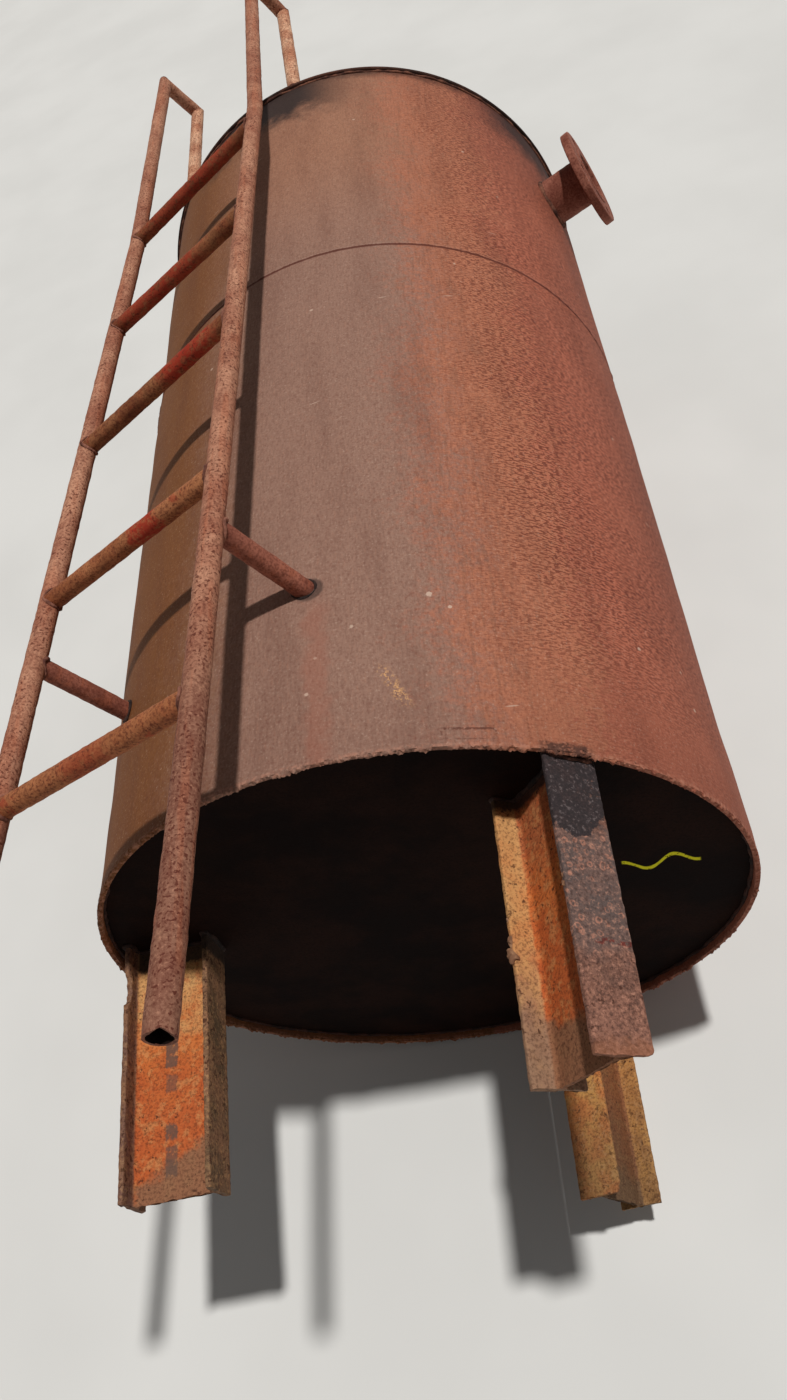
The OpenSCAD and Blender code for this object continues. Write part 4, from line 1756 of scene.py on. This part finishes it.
@dataclass
class Nozzle:
    """The side nozzle: a pipe stub, its flange and their welds."""

    finishes: Finishes
    wall: float = 0.0052
    stub: float = 0.0835
    flange_r: float = 0.0889
    flange_t: float = 0.0150
    raised_r: float = 0.0524
    raised_t: float = 0.0016
    bolt_circle_r: float = 0.06985
    bolt_hole_r: float = 0.0095
    setback: float = 0.006
    inside: float = 0.008
    edge_r: float = 0.0014
    outer_rows: int = 16
    inner_rows: int = 5
    stub_columns: int = 72
    flange_columns: int = 160

    def build(self) -> None:
        """Builds the pipe, the flange and the welds."""
        reach = SHELL_R + self.stub
        end, start = reach - self.setback, BORE_R - self.inside
        rows = [(NOZZLE_R, out) for out in np.linspace(start, end, self.outer_rows)]
        rows += [(NOZZLE_R - self.wall, out) for out in np.linspace(end, start, self.inner_rows)]
        surface = Surface().grid(self._turned(rows, self.stub_columns, 510, 0.0002))
        first, count = self.outer_rows * self.stub_columns, (self.inner_rows - 1) * self.stub_columns
        surface.inner = range(first, first + count)
        surface.piece("nozzle_stub", Slot.NOZZLE, self.finishes.nozzle, "nozzle_pipe", self.finishes.bore)
        self._flange(reach)
        self._welds(reach)

    def _turned(self, rows: list[tuple[float, float]], columns: int, seed: int, rough: float) -> Array:
        """A turned form about the nozzle's axis, faintly lumpy.

        Args:
            rows: radius and distance from the tank's axis of each row.
            columns: number of columns.
            seed: start of the random draws.
            rough: size of the lumps.

        Returns:
            Rows by columns by 3, in the part's frame.
        """
        angles = circle_angles(columns)
        radius, out = np.array(rows).T[..., None]
        points = np.stack(np.broadcast_arrays(out, radius * np.cos(angles), radius * np.sin(angles)), -1)
        wave = (lumps(seed, 0.012, points) - 1.6) * rough
        points[..., 1:] *= 1 + wave[..., None] / radius[..., None]
        return lay(NOZZLE_ANGLE, points + np.array([0, 0, NOZZLE_Y]))

    def _flange(self, reach: float) -> None:
        """The flange plate with its raised face, rounded rims and bolt holes.

        Args:
            reach: distance of its face from the tank's axis.
        """
        face, back, soft = reach - self.raised_t, reach - self.raised_t - self.flange_t, self.edge_r
        bore, rim, dip = NOZZLE_R + SEAT, self.flange_r, 0.3 * self.edge_r
        rows = [(radius, back) for radius in np.linspace(bore, rim - soft, 9)]
        rows += [(rim - dip, back + dip)]
        rows += [(rim, out) for out in np.linspace(back + soft, face - soft, 5)]
        rows += [(rim - dip, face - dip)]
        rows += [(radius, face) for radius in np.linspace(rim - soft, self.raised_r + 0.0005, 7)]
        rows += [(self.raised_r - 0.0005, reach), (bore + soft, reach), (bore + dip, reach - dip)]
        rows += [(bore, reach - soft)]
        surface = Surface().grid(self._turned(rows, self.flange_columns, 520, 0.00022))
        made = surface.piece("nozzle_flange_plate", Slot.NOZZLE, self.finishes.nozzle, "nozzle_flange")
        loops = []
        for turn in math.pi / 4 + circle_angles(4):
            along, across = self.bolt_circle_r * math.sin(turn), self.bolt_circle_r * math.cos(turn)
            loops.append(hole_loops(along, across, self.bolt_hole_r, back - 0.01, reach + 0.01))
        drill(made, loops)

    def _welds(self, reach: float) -> None:
        """The saddle weld at the shell and the ring weld behind the flange.

        Args:
            reach: distance of the flange's face from the tank's axis.
        """
        start, heading = np.array([0, 0, NOZZLE_Y]), np.array([1.0, 0, 0])
        back = Cut(heading * (reach - self.raised_t - self.flange_t), heading)
        shell = Cut(np.zeros(3), UP_THE_TANK, SHELL_R)
        stub = Pipe(NOZZLE_ANGLE, start, start + heading, (shell, back), NOZZLE_R)
        welds = Surface()
        stub.weld(welds, shell, 0.0044, 500)
        stub.weld(welds, back, 0.0030, 510)
        welds.piece("nozzle_welds", Slot.NOZZLE, self.finishes.weld)


@dataclass
class Studio:
    """Floor, lamp, world and camera."""

    eye: Triple = (0.2306, -1.3763, 1.6283)
    right: Triple = (0.958, -0.058, -0.279)
    up: Triple = (0.214, 0.794, 0.570)
    focal_px: float = 1038.56
    frame_px: float = 1400.0
    sensor: float = 36.0
    sun: Triple = (-0.222, -0.080, -0.972)
    sun_strength: float = 3.0
    sun_spread: float = math.radians(2.6)
    sky_strength: float = 0.17
    sky: tuple[float, ...] = (0.92, 0.93, 0.95, 1.0)
    backdrop: tuple[float, ...] = (0.70, 0.70, 0.68, 1.0)
    floor_half: float = 30.0
    floor: Colour = (206, 204, 199)
    floor_light: Colour = (212, 210, 205)

    def build(self) -> None:
        """Builds the studio."""
        self._camera()
        self._floor()
        self._lights()

    def _camera(self) -> None:
        """The camera at the photograph's viewing angle."""
        data = bpy.data.cameras.new("camera")
        data.sensor_width = self.sensor
        data.lens = self.sensor * self.focal_px / self.frame_px
        camera = placed("camera", data)
        right, up = Vector(self.right).normalized(), Vector(self.up)
        back = right.cross(up).normalized()
        axes = Matrix((right, back.cross(right), back)).transposed().to_4x4()
        camera.matrix_world = Matrix.Translation(self.eye) @ axes
        bpy.context.scene.camera = camera

    def _floor(self) -> None:
        """A plain pale floor."""
        g = Graph("studio_floor", self.floor)
        g.over((g.noise(0.5, 3.0).step(0.3, 0.7), self.floor_light))
        mesh = bpy.data.meshes.new("studio_floor")
        half = self.floor_half
        mesh.from_pydata([(-half, -half, 0), (half, -half, 0), (half, half, 0), (-half, half, 0)], [],
                         [(0, 1, 2, 3)])
        mesh.materials.append(g.finish(0.75 + g.noise(0.3) * 0.1, []))
        placed("studio_floor", mesh)

    def _lights(self) -> None:
        """One lamp from above, and a world that is paler to the camera than to the part."""
        data = bpy.data.lights.new("sky_panel", "SUN")
        data.energy = self.sun_strength
        data.angle = self.sun_spread
        placed("sky_panel", data).rotation_euler = Vector(self.sun).to_track_quat("-Z", "Y").to_euler()
        world = bpy.data.worlds.new("studio_world")
        world.use_nodes = True
        tree = Tree(world.node_tree)
        ray = tree.add("ShaderNodeLightPath", {}, "Is Camera Ray")
        seen = ray.larger(ray.twin("Is Glossy Ray")).larger(ray.twin("Is Transmission Ray"))
        sky = tree.add("ShaderNodeBackground", {"Color": self.sky, "Strength": self.sky_strength})
        shown = tree.add("ShaderNodeBackground", {"Color": self.backdrop})
        tree.close("ShaderNodeOutputWorld", tree.add("ShaderNodeMixShader", {0: seen, 1: sky, 2: shown}))
        bpy.context.scene.world = world


def main() -> None:
    """Builds the part's looks round its frame."""
    logging.basicConfig(level=logging.INFO, format="%(name)s: %(message)s")
    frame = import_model()
    LOG.info("the packed part has %d nodes", len(frame["nodes"]))
    bpy.context.scene.view_settings.view_transform = "Standard"
    finishes = Finishes.make()
    for assembly in (Tank, Legs, Ladder, Nozzle):
        assembly(finishes).build()
    Studio().build()


if __name__ == "__main__":
    main()
